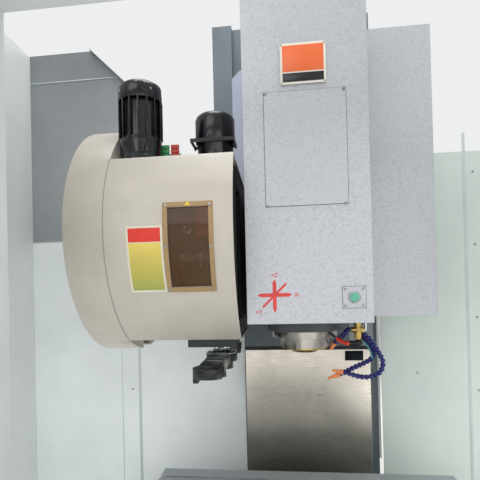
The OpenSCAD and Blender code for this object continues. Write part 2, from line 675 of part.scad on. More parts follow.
module saddle() color("#5c666d") difference() {
  union() {
    box(-saddle_l/2, saddle_l/2, spin_y - saddle_w/2, spin_y + saddle_w/2, saddle_z, saddle_z + saddle_t);
    for (s = [-1, 1]) {
      box(-saddle_l/2 + 10, saddle_l/2 - 10, spin_y + s*x_rail_y - x_rail_w/2,
        spin_y + s*x_rail_y + x_rail_w/2,
        x_rail_z - 1, x_rail_z + x_rail_h);
      for (t = [-1, 1]) box(s*y_rail_x - 50, s*y_rail_x + 50, spin_y + t*170 - 45, spin_y + t*170 + 45,
        saddle_z - 40, saddle_z + 1);
      box(s*(saddle_l/2 - 10) - 10, s*(saddle_l/2 - 10) + 10, spin_y - 40, spin_y + 40, x_rail_z - 1,
        x_rail_z + 38);
    }
    box(-50, 50, spin_y - 40, spin_y + 40, y_screw_z - 34, saddle_z + 1);
  }
  for (s = [-1, 1]) {
    box(s*y_rail_x - rail_w/2 - eps, s*y_rail_x + rail_w/2 + eps, spin_y - 300, spin_y + 300,
      saddle_z - 60, rail_z + rail_h + play);
    for (x = [-600:240:600]) box(x - 80, x + 80, spin_y + s*(saddle_w/2) - 8, spin_y + s*(saddle_w/2) + 8,
      saddle_z + 22, saddle_z + saddle_t - 22);
  }
  bar_y(spin_y - 60, spin_y + 60, 0, y_screw_z, screw_d/2 + 0.06);
  bar_x(-saddle_l/2 - 1, saddle_l/2 + 1, spin_y, x_screw_z, 14.06);
}
module table() color("#7d858a") difference() {
  union() {
    box(-table_l/2, table_l/2, spin_y - table_w/2, spin_y + table_w/2, table_z - table_t, table_z);
    box(-table_l/2 + 80, table_l/2 - 80, spin_y - table_w/2 + 75, spin_y + table_w/2 - 75, table_low,
      table_z - table_t);
    for (s = [-1, 1], t = [-1, 1]) box(s*table_block_x - table_block_l/2, s*table_block_x + table_block_l/2,
      spin_y + t*x_rail_y - 40, spin_y + t*x_rail_y + 40, x_rail_z + 8, table_low + 1);
    box(-40, 40, spin_y - 34, spin_y + 34, x_screw_z - 12, table_low + 1);
  }
  for (i = [0:slot_count - 1]) {
    y = spin_y + (i - (slot_count - 1)/2)*slot_pitch;
    box(-table_l/2 - 1, table_l/2 + 1, y - slot_w/2, y + slot_w/2, table_z - 32, table_z + 1);
    box(-table_l/2 - 1, table_l/2 + 1, y - slot_w/2 - 7, y + slot_w/2 + 7, table_z - 42, table_z - 28);
  }
  for (t = [-1, 1]) box(-500, 500, spin_y + t*x_rail_y - x_rail_w/2 - eps,
    spin_y + t*x_rail_y + x_rail_w/2 + eps, x_rail_z, x_rail_z + x_rail_h + play);
  bar_x(-60, 60, spin_y, x_screw_z, 14.06);
}
module y_way_covers() color("#cfc9bf") for (s = [-1, 1]) {
  y0 = s < 0 ? spin_y - saddle_w/2 - 220 : spin_y + saddle_w/2;
  y1 = s < 0 ? spin_y - saddle_w/2 : spin_y + saddle_w/2 + 160;
  difference() {
    box(-430, 430, y0, y1, rail_z + 60, saddle_z + 66);
    box(-426, 426, y0 - 1, y1 + 1, rail_z + 59, saddle_z + 63);
  }
}
module head_casting() color("#55595c") difference() {
  union() {
    box(-casting_w/2, casting_w/2, casting_y0, slide_y0 + 1, casting_z0, casting_z0 + casting_h);
    bar_z(boss_z, casting_z0 + 1, 0, spin_y, boss_r);
    box(-slide_w/2, slide_w/2, slide_y0, carriage_y + 1, slide_z0, slide_z0 + slide_h);
    for (s = [-1, 1], z = [slide_z0 + 20, slide_z0 + slide_h - 150])
      box(s*z_rail_x - 45, s*z_rail_x + 45, carriage_y, column_y + column_recess - 6, z, z + 130);
    box(-45, 45, carriage_y, column_y + column_recess - 2, slide_z0 + 300, slide_z0 + 380);
  }
  for (s = [-1, 1]) box(s*z_rail_x - rail_w/2 - eps, s*z_rail_x + rail_w/2 + eps,
    column_y + column_recess - rail_h - play, column_y + column_recess, slide_z0, slide_z0 + slide_h);
  bar_z(boss_z - 1, cart_top, 0, spin_y, cart_r + 0.06);
  bar_z(cart_top - 1, motor_z + 1, 0, spin_y, 58);
  bar_z(slide_z0, slide_z0 + slide_h, 0, z_screw_y, screw_d/2 + 0.06);
  for (s = [-1, 1]) box(s*casting_w/2 - 30, s*casting_w/2 + 30, spin_y + 150, spin_y + 380,
    casting_z0 + 90, casting_z0 + 420);
}
module head_cover() color("#c0c4ca") difference() {
  box(-cover_w/2, cover_w/2, front_y, cover_back, cover_z, cover_z + cover_h);
  box(-cover_w/2 + cover_t, cover_w/2 - cover_t, front_y + cover_t, cover_back + 1, cover_z - 1,
    cover_z + cover_h - cover_t);
  bar_y(front_y - 1, front_y + cover_t + 1, btn_x, btn_z, btn_r + 3);
}
module cover_plates() color("#c6cad0") {
  panel_z = 361;
  panel_h = 351;
  translate([0, front_y, cover_z + panel_z + panel_h/2]) rotate([90, 0, 0]) rounded(247, panel_h, 3, 2);
  translate([-2, front_y, cover_z + 793]) rotate([90, 0, 0]) rounded(142, 130, 6, 1.5);
  difference() {
    union() {
      translate([btn_x, front_y, btn_z]) rotate([90, 0, 0]) rounded(67, 64, 6, 2);
      bar_y(front_y - 6, front_y, btn_x, btn_z, btn_r + 5);
    }
    bar_y(front_y - 7, front_y + 1, btn_x, btn_z, btn_r + 0.06);
  }
}
module push_button() color("#4fae8c") {
  bar_y(front_y - 12, front_y + 14, btn_x, btn_z, btn_r);
  bar_y(front_y + 8, front_y + 14, btn_x, btn_z, btn_r + 2);
}
module side_cover() color("#bcc0c6") {
  x1 = cover_w/2 + side_cover_w;
  z1 = cover_z + 1059;
  difference() {
    box(cover_w/2 + play, x1, side_y, guard_y, cover_z, z1);
    box(cover_w/2, x1 - cover_t, side_y + cover_t, guard_y + 1, cover_z + cover_t, z1 - cover_t);
  }
  difference() {
    sheet_xz(guard_y, guard_t, [[-guard_w0, cover_z - 40], [-guard_w0, cover_z + guard_h - 42],
      [-guard_w0 + 42, cover_z + guard_h], [cover_w/2, cover_z + guard_h], [cover_w/2, z1], [x1, z1],
      [x1, cover_z], [slide_w/2 + 30, cover_z], [slide_w/2 + 30, cover_z - 40]]);
    box(-casting_w/2 - 1, casting_w/2 + 1, guard_y - 1, guard_y + guard_t + 1, casting_z0 - 1,
      casting_z0 + casting_h + 1);
  }
}
module apron() color("#4f595e") {
  box(apron_x0, apron_x1, apron_y, apron_y + apron_t, apron_z, slide_z0);
  box(-slide_w/2, slide_w/2, apron_y, apron_y + 22, slide_z0 - 8, slide_z0);
  box(way_x0, way_x1, apron_y, way_y - play, apron_z - wiper_h, apron_z);
}
module spindle_cartridge() color("#a9a6a0") difference() {
  union() {
    bar_z(boss_z - flange_t, boss_z, 0, spin_y, flange_d/2);
    bar_z(nose_z + 20, boss_z, 0, spin_y, nose_d/2);
    bar_z(boss_z, cart_top, 0, spin_y, cart_r);
  }
  bar_z(nose_z, cart_top + 1, 0, spin_y, spindle_d/2 + 0.06);
  for (i = [0:5]) rotate_about(i*60 + 30) bar_z(boss_z - flange_t - 1, boss_z - flange_t + 8,
    flange_d/2 - 12, spin_y, 8);
}
module rotate_about(a) { translate([0, spin_y, 0]) rotate(a) translate([0, -spin_y, 0]) children(); }
module spindle() color("#b3a078") difference() {
  translate([0, spin_y, nose_z]) {
    rotate_extrude() polygon([[0, 0], [44, 0], [48, 4], [60, 8], [nose_d/2 - 6, 14], [nose_d/2 - 6, 19.6],
      [spindle_d/2, 19.6], [spindle_d/2, 480], [30, 480], [30, 560], [0, 560]]);
    for (s = [-1, 1]) translate([s*33 - 8, -6, -3]) cube([16, 12, 4]);
  }
  translate([0, spin_y, nose_z - 0.1]) cylinder(r1 = taper_d/2, r2 = 12.8, h = 66);
  bar_z(nose_z + 60, nose_z + 600, 0, spin_y, 12.8);
}
module spindle_motor() color("#1d2024") translate([0, spin_y, motor_z]) {
  translate([0, 0, 0]) rounded(236, 236, 18, 20);
  translate([0, 0, 20]) rounded(206, 206, 40, 300);
  translate([0, 0, 320]) cylinder(r = 92, h = 60);
}
module coolant_valve() color("#b9a46a") difference() {
  union() {
    bar_z(cover_z - 66, cover_z + 54, valve_x, valve_y, 10);
    translate([valve_x, valve_y, cover_z - 58]) cylinder(r = 14, h = 16, $fn = 6);
    translate([valve_x, valve_y, cover_z - 20]) cylinder(r = 15, h = 16, $fn = 6);
    bar_x(valve_x - 24, valve_x + 20, valve_y, cover_z - 34, 9);
    box(casting_w/2, cover_w/2 - cover_t - 2, valve_y - 16, valve_y + 16, cover_z + 54, cover_z + 66);
    box(casting_w/2, casting_w/2 + 6, valve_y - 16, valve_y + 16, cover_z + 66, cover_z + 100);
    translate([valve_x, valve_y, cover_z - 78]) sphere(r = 13);
    bar_x(valve_x - 30, valve_x, valve_y, cover_z - 80, 9);
  }
  bar_x(valve_x + 8, valve_x + 21, valve_y, cover_z - 34, 5.06);
}
module valve_lever() color("#d5d8da") {
  bar_x(valve_x + 9, valve_x + 26, valve_y, cover_z - 34, 5);
  box(valve_x + 22, valve_x + 26, valve_y - 7, valve_y + 7, cover_z - 34, cover_z - 4);
}

// Positions along a smooth curve through the points p, at t from 0 to the number of spans
function spline(p, t) = let(n = len(p) - 1, k = min(floor(t), n - 1), f = t - k,
  a = p[max(k - 1, 0)], b = p[k], c = p[k + 1], d = p[min(k + 2, n)])
  0.5*(2*b + (c - a)*f + (2*a - 5*b + 4*c - d)*f*f + (3*b - a - 3*c + d)*f*f*f);
function unit(v) = v/norm(v);
// Tube with a ring of sides round each point of a path, its radius stepping between the links of a
// jointed hose; the first ring lies square to the path's first span, flat on the fitting it starts from
module tube(p, r, n, link, sides = 8) {
  pts = [for (i = [0:n]) spline(p, i*(len(p) - 1)/n)];
  ring = [for (i = [0:n]) let(t = unit(i == 0 ? p[1] - p[0] : pts[min(i + 1, n)] - pts[i - 1]),
    u = unit(cross(t, [0.1, 1, 0.2])), v = cross(t, u), q = r*(i % 2 == 0 ? 1 : link))
    for (j = [0:sides - 1]) pts[i] + q*(cos(j*360/sides)*u + sin(j*360/sides)*v)];
  last = n*sides;
  polyhedron(ring, concat([[for (j = [0:sides - 1]) j]],
    [for (i = [0:n - 1], j = [0:sides - 1]) let(k = (j + 1) % sides)
      [i*sides + k, i*sides + j, i*sides + j + sides, i*sides + k + sides]],
    [[for (j = [sides - 1:-1:0]) last + j]]), convexity = 10);
}
hose_outer = [[184.7, -450, 1500], [191, -450, 1500], [204, -454, 1488], [218, -460, 1465], [232, -460, 1440],
  [243, -461, 1414], [241, -462, 1390], [226, -463, 1371], [196, -463, 1361], [163, -462, 1363],
  [138, -461, 1371], [114, -460, 1376]];
hose_inner = [[172, -437.2, 1500], [172, -431, 1500], [181, -424, 1495], [197, -427, 1478], [212, -434, 1458],
  [222, -437, 1437], [212, -440, 1418], [188, -442, 1403], [158, -444, 1390], [128, -446, 1376],
  [104, -448, 1366]];
hose_back = [[145.3, -450, 1516], [139, -450, 1516], [132, -440, 1508], [130, -412, 1496], [123, -380, 1483],
  [113, -362, 1470], [104, -354, 1458]];
red_hose = [[139.3, -450, 1470], [132, -450, 1470], [118, -436, 1475], [104, -424, 1483]];
teal_tube = [[183.4, -450, 1472], [190, -450, 1472], [200, -462, 1456], [205, -473, 1438], [208, -474, 1424]];
// Outlet nozzle that starts at the end of a hose and points at tip
module nozzle(hose, tip, r) {
  a = hose[len(hose) - 1];
  v = tip - a;
  translate(a + play*unit(v)) rotate([0, acos(v[2]/norm(v)), atan2(v[1], v[0])])
    cylinder(r1 = r, r2 = r*0.45, h = norm(v));
}
module coolant_hoses() {
  color("#1a1a66") {
    tube(hose_outer, 8.5, 44, 0.72);
    tube(hose_inner, 7.5, 34, 0.72);
    tube(hose_back, 7.5, 15, 0.72);
  }
  color("#e8894f") {
    nozzle(hose_outer, [80, -459, 1382], 8);
    nozzle(hose_inner, [66, -450, 1352], 7.5);
    nozzle(hose_back, [90, -350, 1434], 7.5);
  }
}
module air_hoses() {
  color("#e0402c") tube(red_hose, 7, 10, 1);
  color("#2f8f8f") tube(teal_tube, 2.5, 14, 1);
}
module pendant_arm() color("#c4cace") {
  y0 = -case_front + 10;
  z = case_h + 40;
  translate([pendant_x, y0, case_h]) translate([-70, -10, 0]) cube([140, 60, 12]);
  bar_z(case_h + 12, z, pendant_x, y0 + 20, 30);
  bar_y(arm_y, y0 + 20, pendant_x, z, 30);
  bar_z(control_z + control_h + play, z, pendant_x, arm_y, 28);
}
module control_box() color("#cfd3d4") {
  y0 = arm_y - control_d/2;
  difference() {
    translate([pendant_x, arm_y + control_d/2, control_z + control_h/2]) rotate([90, 0, 0])
      rounded(control_w, control_h, 24, control_d);
    box(pendant_x - 150, pendant_x + 110, y0 - 1, y0 + 8, control_z + 280, control_z + control_h - 60);
    bar_y(y0 - 1, y0 + 12, pendant_x + 130, control_z + 90, 8.06);
    bar_y(y0 - 1, y0 + 16, pendant_x - 150, control_z + 90, 12.06);
    for (i = [0:7]) box(pendant_x - 150 + i*34, pendant_x - 126 + i*34, y0 - 1, y0 + 3,
      control_z + 200, control_z + 224);
  }
}
module handwheel() color("#2a2d30") {
  y0 = arm_y - control_d/2;
  difference() {
    bar_y(y0 - 12, y0 - play, pendant_x + 130, control_z + 90, 34);
    bar_y(y0 - 13, y0 - 6, pendant_x + 130, control_z + 90, 26);
  }
  bar_y(y0 - 6, y0 + 10, pendant_x + 130, control_z + 90, 8);
  bar_y(y0 - 15, y0 - 12, pendant_x + 130, control_z + 118, 4);
}
module stop_button() color("#c8281e") {
  y0 = arm_y - control_d/2;
  bar_y(y0 - 15, y0 - 7, pendant_x - 150, control_z + 90, 22);
  bar_y(y0 - 7, y0 + 9, pendant_x - 150, control_z + 90, 12);
}

bed();
leveling_feet();
column();
linear_rails();
y_screw();
z_screw();
x_screw();
axis_motors();
x_motor();
chip_tray();
side_walls();
rear_walls();
front_frame();
door_rails();
left_door();
right_door();
left_door_window();
right_door_window();
coolant_tank();
electrical_cabinet();
cabinet_door();
magazine_bracket();
magazine_cover();
window_frame();
window_pane();
magazine_motor();
fan_cowl();
motor_fan();
arm_gearbox();
arm_motor();
brake_lever();
magazine_disc();
tool_pots();
station_pot();
arm_shaft();
swing_arm();
way_cover_upper();
way_cover_middle();
way_cover_lower();
way_cover_fixed();
saddle();
table();
y_way_covers();
head_casting();
head_cover();
cover_plates();
push_button();
side_cover();
apron();
spindle_cartridge();
spindle();
spindle_motor();
coolant_valve();
valve_lever();
coolant_hoses();
air_hoses();
pendant_arm();
control_box();
handwheel();
stop_button();
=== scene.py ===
"""Finishes and small fittings of a vertical machining center, built round its CAD model"""

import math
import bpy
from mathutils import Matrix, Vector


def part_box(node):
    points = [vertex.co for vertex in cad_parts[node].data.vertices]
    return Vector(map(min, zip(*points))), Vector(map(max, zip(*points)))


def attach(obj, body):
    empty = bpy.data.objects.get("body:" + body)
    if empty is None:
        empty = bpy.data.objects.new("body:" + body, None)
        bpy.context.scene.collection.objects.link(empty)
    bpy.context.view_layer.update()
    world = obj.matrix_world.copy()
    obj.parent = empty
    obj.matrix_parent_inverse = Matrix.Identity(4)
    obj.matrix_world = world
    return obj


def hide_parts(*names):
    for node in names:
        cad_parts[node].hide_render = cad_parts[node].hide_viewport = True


bl_info = {
    "name": "Machining Center",
    "version": (1, 0, 0),
    "blender": (4, 5, 0),
    "location": "View3D > Sidebar > Machining Center",
    "description": "Dresses the CAD model of a vertical machining center with finishes and fittings",
    "category": "Object",
}

import bmesh
import bpy
from mathutils import Matrix, Vector

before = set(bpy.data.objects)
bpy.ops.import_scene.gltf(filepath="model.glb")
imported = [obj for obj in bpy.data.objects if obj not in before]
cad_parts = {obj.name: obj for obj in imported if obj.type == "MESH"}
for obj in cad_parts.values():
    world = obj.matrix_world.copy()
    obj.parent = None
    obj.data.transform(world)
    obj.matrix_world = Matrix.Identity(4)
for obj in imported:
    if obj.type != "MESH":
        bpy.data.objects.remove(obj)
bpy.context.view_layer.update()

MM = 0.001
# Planes and axes of the model, in metres
HEAD_FRONT = -0.600
COVER_BOTTOM = 1.550
SPINDLE_Y = -0.340
DRUM_Z = 1.846
DRUM_R = 0.397
DRUM_TOP = 2.063
REAR_WALL = 0.246
GUARD_FOOT = 1.930
CASE_FRONT = -1.050
CONTROL_FRONT = -1.370
BUTTON_X, BUTTON_Z = 0.133, 1.628
# Directions that fittings face
FRONT = (0, -1, 0)
BACK = (0, 1, 0)
UP = (0, 0, 1)
DOWN = (0, 0, -1)


def linear(hex_colour):
    """Turns an sRGB hex colour into the linear colour that Blender's sockets hold"""
    parts = [int(hex_colour[i : i + 2], 16) / 255 for i in (1, 3, 5)]
    return tuple(p / 12.92 if p <= 0.04045 else ((p + 0.055) / 1.055) ** 2.4 for p in parts)


def darker(colour, share):
    """The colour at that share of its brightness"""
    return tuple(c * share for c in colour)


# Making of the finishes


def add_node(tree, kind, inputs=None, **settings):
    """Adds a shader node, with its settings, and sets or links its inputs; a colour gets its alpha here"""
    item = tree.nodes.new(kind)
    for name, value in settings.items():
        setattr(item, name, value)
    for name, value in (inputs or {}).items():
        socket = item.inputs[name]
        if isinstance(value, bpy.types.NodeSocket):
            tree.links.new(value, socket)
        elif socket.type == "RGBA":
            socket.default_value = (*value, 1)
        else:
            socket.default_value = value
    return item


def new_material(name, colour, metallic, roughness, **sockets):
    """A material with its shader and object coordinates, ready for a finish"""
    material = bpy.data.materials.new(name)
    material.use_nodes = True
    material.diffuse_color = (*colour, 1)
    tree = material.node_tree
    tree.nodes.clear()
    shader = add_node(tree, "ShaderNodeBsdfPrincipled", {"Base Color": colour, "Metallic": metallic,
                                                         "Roughness": roughness, **sockets})
    add_node(tree, "ShaderNodeOutputMaterial", {"Surface": shader.outputs["BSDF"]})
    place = add_node(tree, "ShaderNodeTexCoord").outputs["Object"]
    return material, tree, shader, place


def tinted(tree, pattern, low, high, under, over, share=1.0):
    """Colour that turns from under to over, up to that share, where the pattern rises from low to high"""
    amount = add_node(tree, "ShaderNodeMapRange", {"Value": pattern, "From Min": low, "From Max": high,
                                                   "To Max": share}).outputs["Result"]
    mixed = add_node(tree, "ShaderNodeMix", {"Factor": amount, 6: under, 7: over}, data_type="RGBA")
    return mixed.outputs[2]


def finished(made, tone, dulled=None, relief=None):
    """Gives a new material its colour, its roughness and its relief

    dulled is (pattern, low, high, first roughness, last roughness).
    relief is (pattern, depth in mm, strength).
    """
    material, tree, shader, _ = made
    tree.links.new(tone, shader.inputs["Base Color"])
    if dulled:
        pattern, low, high, first, last = dulled
        dull = add_node(tree, "ShaderNodeMapRange", {"Value": pattern, "From Min": low, "From Max": high,
                                                     "To Min": first, "To Max": last})
        tree.links.new(dull.outputs["Result"], shader.inputs["Roughness"])
    if relief:
        pattern, depth_mm, strength = relief
        bump = add_node(tree, "ShaderNodeBump", {"Height": pattern, "Distance": depth_mm * MM,
                                                 "Strength": strength})
        tree.links.new(bump.outputs["Normal"], shader.inputs["Normal"])
    return material


def enamel(name, colour, shade, roughness=0.42, peel_mm=4, depth_mm=0.03, cloud_mm=420, coat=0.0):
    """Sprayed enamel or powder coat: clouds of a second tone, fine orange peel and dusty dull spots"""
    made = new_material(name, colour, 0.0, roughness, **{"Coat Weight": coat})
    _, tree, _, place = made
    clouds = add_node(tree, "ShaderNodeTexNoise", {"Vector": place, "Scale": 1000 / cloud_mm, "Detail": 5.0,
                                                   "Roughness": 0.6}).outputs["Fac"]
    peel = add_node(tree, "ShaderNodeTexNoise", {"Vector": place, "Scale": 1000 / peel_mm,
                                                 "Detail": 2.0}).outputs["Fac"]
    tone = tinted(tree, clouds, 0.35, 0.68, colour, shade)
    return finished(made, tone, (clouds, 0.3, 0.7, roughness - 0.06, roughness + 0.1), (peel, depth_mm, 0.6))


def hammertone(name, colour, shade, back_colour):
    """Hammered enamel: dimples with darker rims and silver flake, and a plain coat at the back"""
    dimple_mm, flake_mm, cloud_mm = 5, 2.6, 16.7
    back_from, back_to = 0.0895, 0.0899
    made = new_material(name, colour, 0.15, 0.36)
    _, tree, _, place = made
    clouds = add_node(tree, "ShaderNodeTexNoise", {"Vector": place, "Scale": 1000 / cloud_mm,
                                                   "Detail": 3.0}).outputs["Fac"]
    cells = add_node(tree, "ShaderNodeTexVoronoi", {"Vector": place, "Scale": 1000 / dimple_mm},
                     feature="F1")
    flakes = add_node(tree, "ShaderNodeTexNoise", {"Vector": place, "Scale": 1000 / flake_mm, "Detail": 2.0})
    rims = add_node(tree, "ShaderNodeMath", {0: cells.outputs["Distance"], 1: flakes.outputs["Fac"]},
                    operation="MULTIPLY").outputs[0]
    speckle = add_node(tree, "ShaderNodeMapRange", {"Value": rims, "From Min": 0.08, "From Max": 0.42,
                                                    "To Max": 0.95}).outputs["Result"]
    tone = tinted(tree, speckle, 0, 1, colour, shade)
    tone = tinted(tree, clouds, 0.3, 0.7, tone, colour, 0.5)
    depth = add_node(tree, "ShaderNodeSeparateXYZ", {"Vector": place}).outputs["Y"]
    tone = tinted(tree, depth, back_from, back_to, tone, back_colour)
    return finished(made, tone, (rims, 0.1, 0.45, 0.3, 0.46), (speckle, 0.12, 0.35))


def brushed_steel(name, colour, roughness=0.34, line_mm=1.4, along=(0.02, 1, 1), wear=0.0):
    """Rolled or brushed steel: coarsely drawn lines along one direction, and slow changes of tone"""
    cloud_mm = 143
    made = new_material(name, colour, 1.0, roughness, Anisotropic=0.5)
    _, tree, _, place = made
    drawn = add_node(tree, "ShaderNodeMapping", {"Vector": place, "Scale": along}).outputs[0]
    lines = add_node(tree, "ShaderNodeTexNoise", {"Vector": drawn, "Scale": 1000 / line_mm,
                                                  "Detail": 3.0}).outputs["Fac"]
    clouds = add_node(tree, "ShaderNodeTexNoise", {"Vector": place, "Scale": 1000 / cloud_mm,
                                                   "Detail": 6.0}).outputs["Fac"]
    tone = tinted(tree, lines, 0.3, 0.75, colour, darker(colour, 0.72), 0.6)
    tone = tinted(tree, clouds, 0.48, 0.75, tone, darker(colour, 0.6), 0.35 + wear)
    return finished(made, tone, (lines, 0.3, 0.7, roughness - 0.06, roughness + 0.12), (lines, 0.02, 0.5))


def turned_steel(name, colour, centre, roughness=0.2, ring_mm=1.6, metallic=1.0):
    """Turned or ground metal: coarsely drawn rings about a vertical axis, over an uneven shine"""
    cloud_mm = 33.3
    made = new_material(name, colour, metallic, roughness)
    _, tree, _, place = made
    centred = add_node(tree, "ShaderNodeVectorMath", {0: place, 1: centre}, operation="SUBTRACT")
    flat = add_node(tree, "ShaderNodeVectorMath", {0: centred.outputs[0], 1: (1, 1, 0.6)},
                    operation="MULTIPLY")
    away = add_node(tree, "ShaderNodeVectorMath", {0: flat.outputs[0]}, operation="LENGTH")
    rings = add_node(tree, "ShaderNodeTexNoise", {"W": away.outputs["Value"], "Scale": 1000 / ring_mm,
                                                  "Detail": 3.0}, noise_dimensions="1D").outputs["Fac"]
    clouds = add_node(tree, "ShaderNodeTexNoise", {"Vector": place, "Scale": 1000 / cloud_mm,
                                                   "Detail": 4.0}).outputs["Fac"]
    tone = tinted(tree, rings, 0.35, 0.75, colour, darker(colour, 0.6), 0.35)
    return finished(made, tone, (clouds, 0.3, 0.7, roughness - 0.08, roughness + 0.14), (rings, 0.03, 0.5))


def casting(name, colour, shade, roughness=0.6, grain_mm=3.5, depth_mm=0.5):
    """Sand-cast iron under paint or oil: grains drawn coarse enough to show, pits, and darker oil stains"""
    stain_mm = 111
    made = new_material(name, colour, 0.0, roughness)
    _, tree, _, place = made
    grains = add_node(tree, "ShaderNodeTexNoise", {"Vector": place, "Scale": 1000 / grain_mm, "Detail": 4.0,
                                                   "Roughness": 0.65}).outputs["Fac"]
    stains = add_node(tree, "ShaderNodeTexNoise", {"Vector": place, "Scale": 1000 / stain_mm, "Detail": 7.0,
                                                   "Roughness": 0.62}).outputs["Fac"]
    tone = tinted(tree, stains, 0.42, 0.7, colour, shade)
    tone = tinted(tree, grains, 0.58, 0.8, tone, darker(shade, 0.5), 0.45)
    oiled = (stains, 0.35, 0.7, roughness + 0.1, roughness - 0.18)
    return finished(made, tone, oiled, (grains, depth_mm, 0.5))


def scraped_iron(name, colour, shade):
    """Ground and hand-scraped table iron: half-moon flakes over a fine ground surface"""
    flake_mm, line_mm = 12, 1.11
    made = new_material(name, colour, 0.9, 0.34)
    _, tree, _, place = made
    flakes = add_node(tree, "ShaderNodeTexVoronoi", {"Vector": place, "Scale": 1000 / flake_mm},
                      feature="F1").outputs["Color"]
    drawn = add_node(tree, "ShaderNodeMapping", {"Vector": place, "Scale": (0.03, 1, 1)}).outputs[0]
    lines = add_node(tree, "ShaderNodeTexNoise", {"Vector": drawn, "Scale": 1000 / line_mm,
                                                  "Detail": 2.0}).outputs["Fac"]
    tone = tinted(tree, flakes, 0.1, 0.9, colour, shade, 0.4)
    tone = tinted(tree, lines, 0.4, 0.7, tone, shade, 0.3)
    return finished(made, tone, (flakes, 0.1, 0.9, 0.26, 0.44), (lines, 0.02, 0.4))


def moulded(name, colour, roughness=0.4, grain_mm=1.2, depth_mm=0.03, flow=0.25):
    """Moulded or extruded plastic and rubber: a faint, coarsely drawn grain, and darker flow marks"""
    mark_mm = 22.2
    made = new_material(name, colour, 0.0, roughness)
    _, tree, _, place = made
    grain = add_node(tree, "ShaderNodeTexNoise", {"Vector": place, "Scale": 1000 / grain_mm,
                                                  "Detail": 2.0}).outputs["Fac"]
    marks = add_node(tree, "ShaderNodeTexNoise", {"Vector": place, "Scale": 1000 / mark_mm,
                                                  "Detail": 4.0}).outputs["Fac"]
    tone = tinted(tree, marks, 0.35, 0.75, colour, darker(colour, 0.55), flow)
    return finished(made, tone, (marks, 0.3, 0.7, roughness - 0.05, roughness + 0.1), (grain, depth_mm, 0.4))


def clear_sheet(name, colour, clearness, roughness=0.05):
    """Polycarbonate or acrylic sheet: clear, tinted in the mass, with wipe marks and fine scratches"""
    wipe_mm = 71.4
    made = new_material(name, colour, 0.0, roughness, Alpha=1 - clearness, IOR=1.5)
    _, tree, _, place = made
    wipes = add_node(tree, "ShaderNodeTexNoise", {"Vector": place, "Scale": 1000 / wipe_mm, "Detail": 6.0,
                                                  "Distortion": 1.2}).outputs["Fac"]
    paler = tuple(min(1, c * 1.5) for c in colour)
    tone = tinted(tree, wipes, 0.45, 0.8, colour, paler, 0.35)
    return finished(made, tone, (wipes, 0.4, 0.75, roughness, roughness + 0.16))


def two_tone(name, base, edge, width, upper, roughness=0.42, axis="Z"):
    """Enamel, film or tube in two colours along one axis: upper takes over from base past the edge"""
    cloud_mm, grain_mm = 200, 3.33
    made = new_material(name, base, 0.0, roughness)
    _, tree, _, place = made
    along = add_node(tree, "ShaderNodeSeparateXYZ", {"Vector": place}).outputs[axis]
    clouds = add_node(tree, "ShaderNodeTexNoise", {"Vector": place, "Scale": 1000 / cloud_mm,
                                                   "Detail": 5.0}).outputs["Fac"]
    grain = add_node(tree, "ShaderNodeTexNoise", {"Vector": place, "Scale": 1000 / grain_mm,
                                                  "Detail": 2.0}).outputs["Fac"]
    tone = tinted(tree, along, edge, edge + width, base, upper)
    tone = tinted(tree, clouds, 0.4, 0.75, tone, darker(base, 0.6), 0.22)
    return finished(made, tone, relief=(grain, 0.02, 0.5))


def rear_coat(name, colour, left, right, guard_shade_foot, guard_shade_top, dust):
    """Powder coat of the rear sheets: pale on the left, mint on the right, and painted shade on the tall
    guard, grey and darker towards its top
    """
    cloud_mm, peel_mm = 312.5, 4.17
    made = new_material(name, colour, 0.0, 0.46)
    _, tree, _, place = made
    parts = add_node(tree, "ShaderNodeSeparateXYZ", {"Vector": place})
    clouds = add_node(tree, "ShaderNodeTexNoise", {"Vector": place, "Scale": 1000 / cloud_mm,
                                                   "Detail": 6.0}).outputs["Fac"]
    peel = add_node(tree, "ShaderNodeTexNoise", {"Vector": place, "Scale": 1000 / peel_mm,
                                                 "Detail": 2.0}).outputs["Fac"]
    # Painted shade: the tall guard is grey, and darkens from its foot to its top
    guard = tinted(tree, parts.outputs["Z"], 2.3, 2.9, guard_shade_foot, guard_shade_top)
    tone = tinted(tree, parts.outputs["Z"], GUARD_FOOT, GUARD_FOOT + 0.01, left, guard)
    tone = tinted(tree, parts.outputs["X"], -0.01, 0.01, tone, right)
    tone = tinted(tree, clouds, 0.4, 0.7, tone, dust, 0.2)
    return finished(made, tone, relief=(peel, 0.04, 0.6))


def concrete(name, colour, light, dark):
    """Trowelled floor: wide, faint clouds"""
    cloud_mm = 667
    made = new_material(name, colour, 0.0, 0.7)
    _, tree, _, place = made
    clouds = add_node(tree, "ShaderNodeTexNoise", {"Vector": place, "Scale": 1000 / cloud_mm,
                                                   "Detail": 6.0}).outputs["Fac"]
    return finished(made, tinted(tree, clouds, 0.3, 0.7, light, dark))


SPINDLE_MIDDLE = (0, SPINDLE_Y, 1.5)
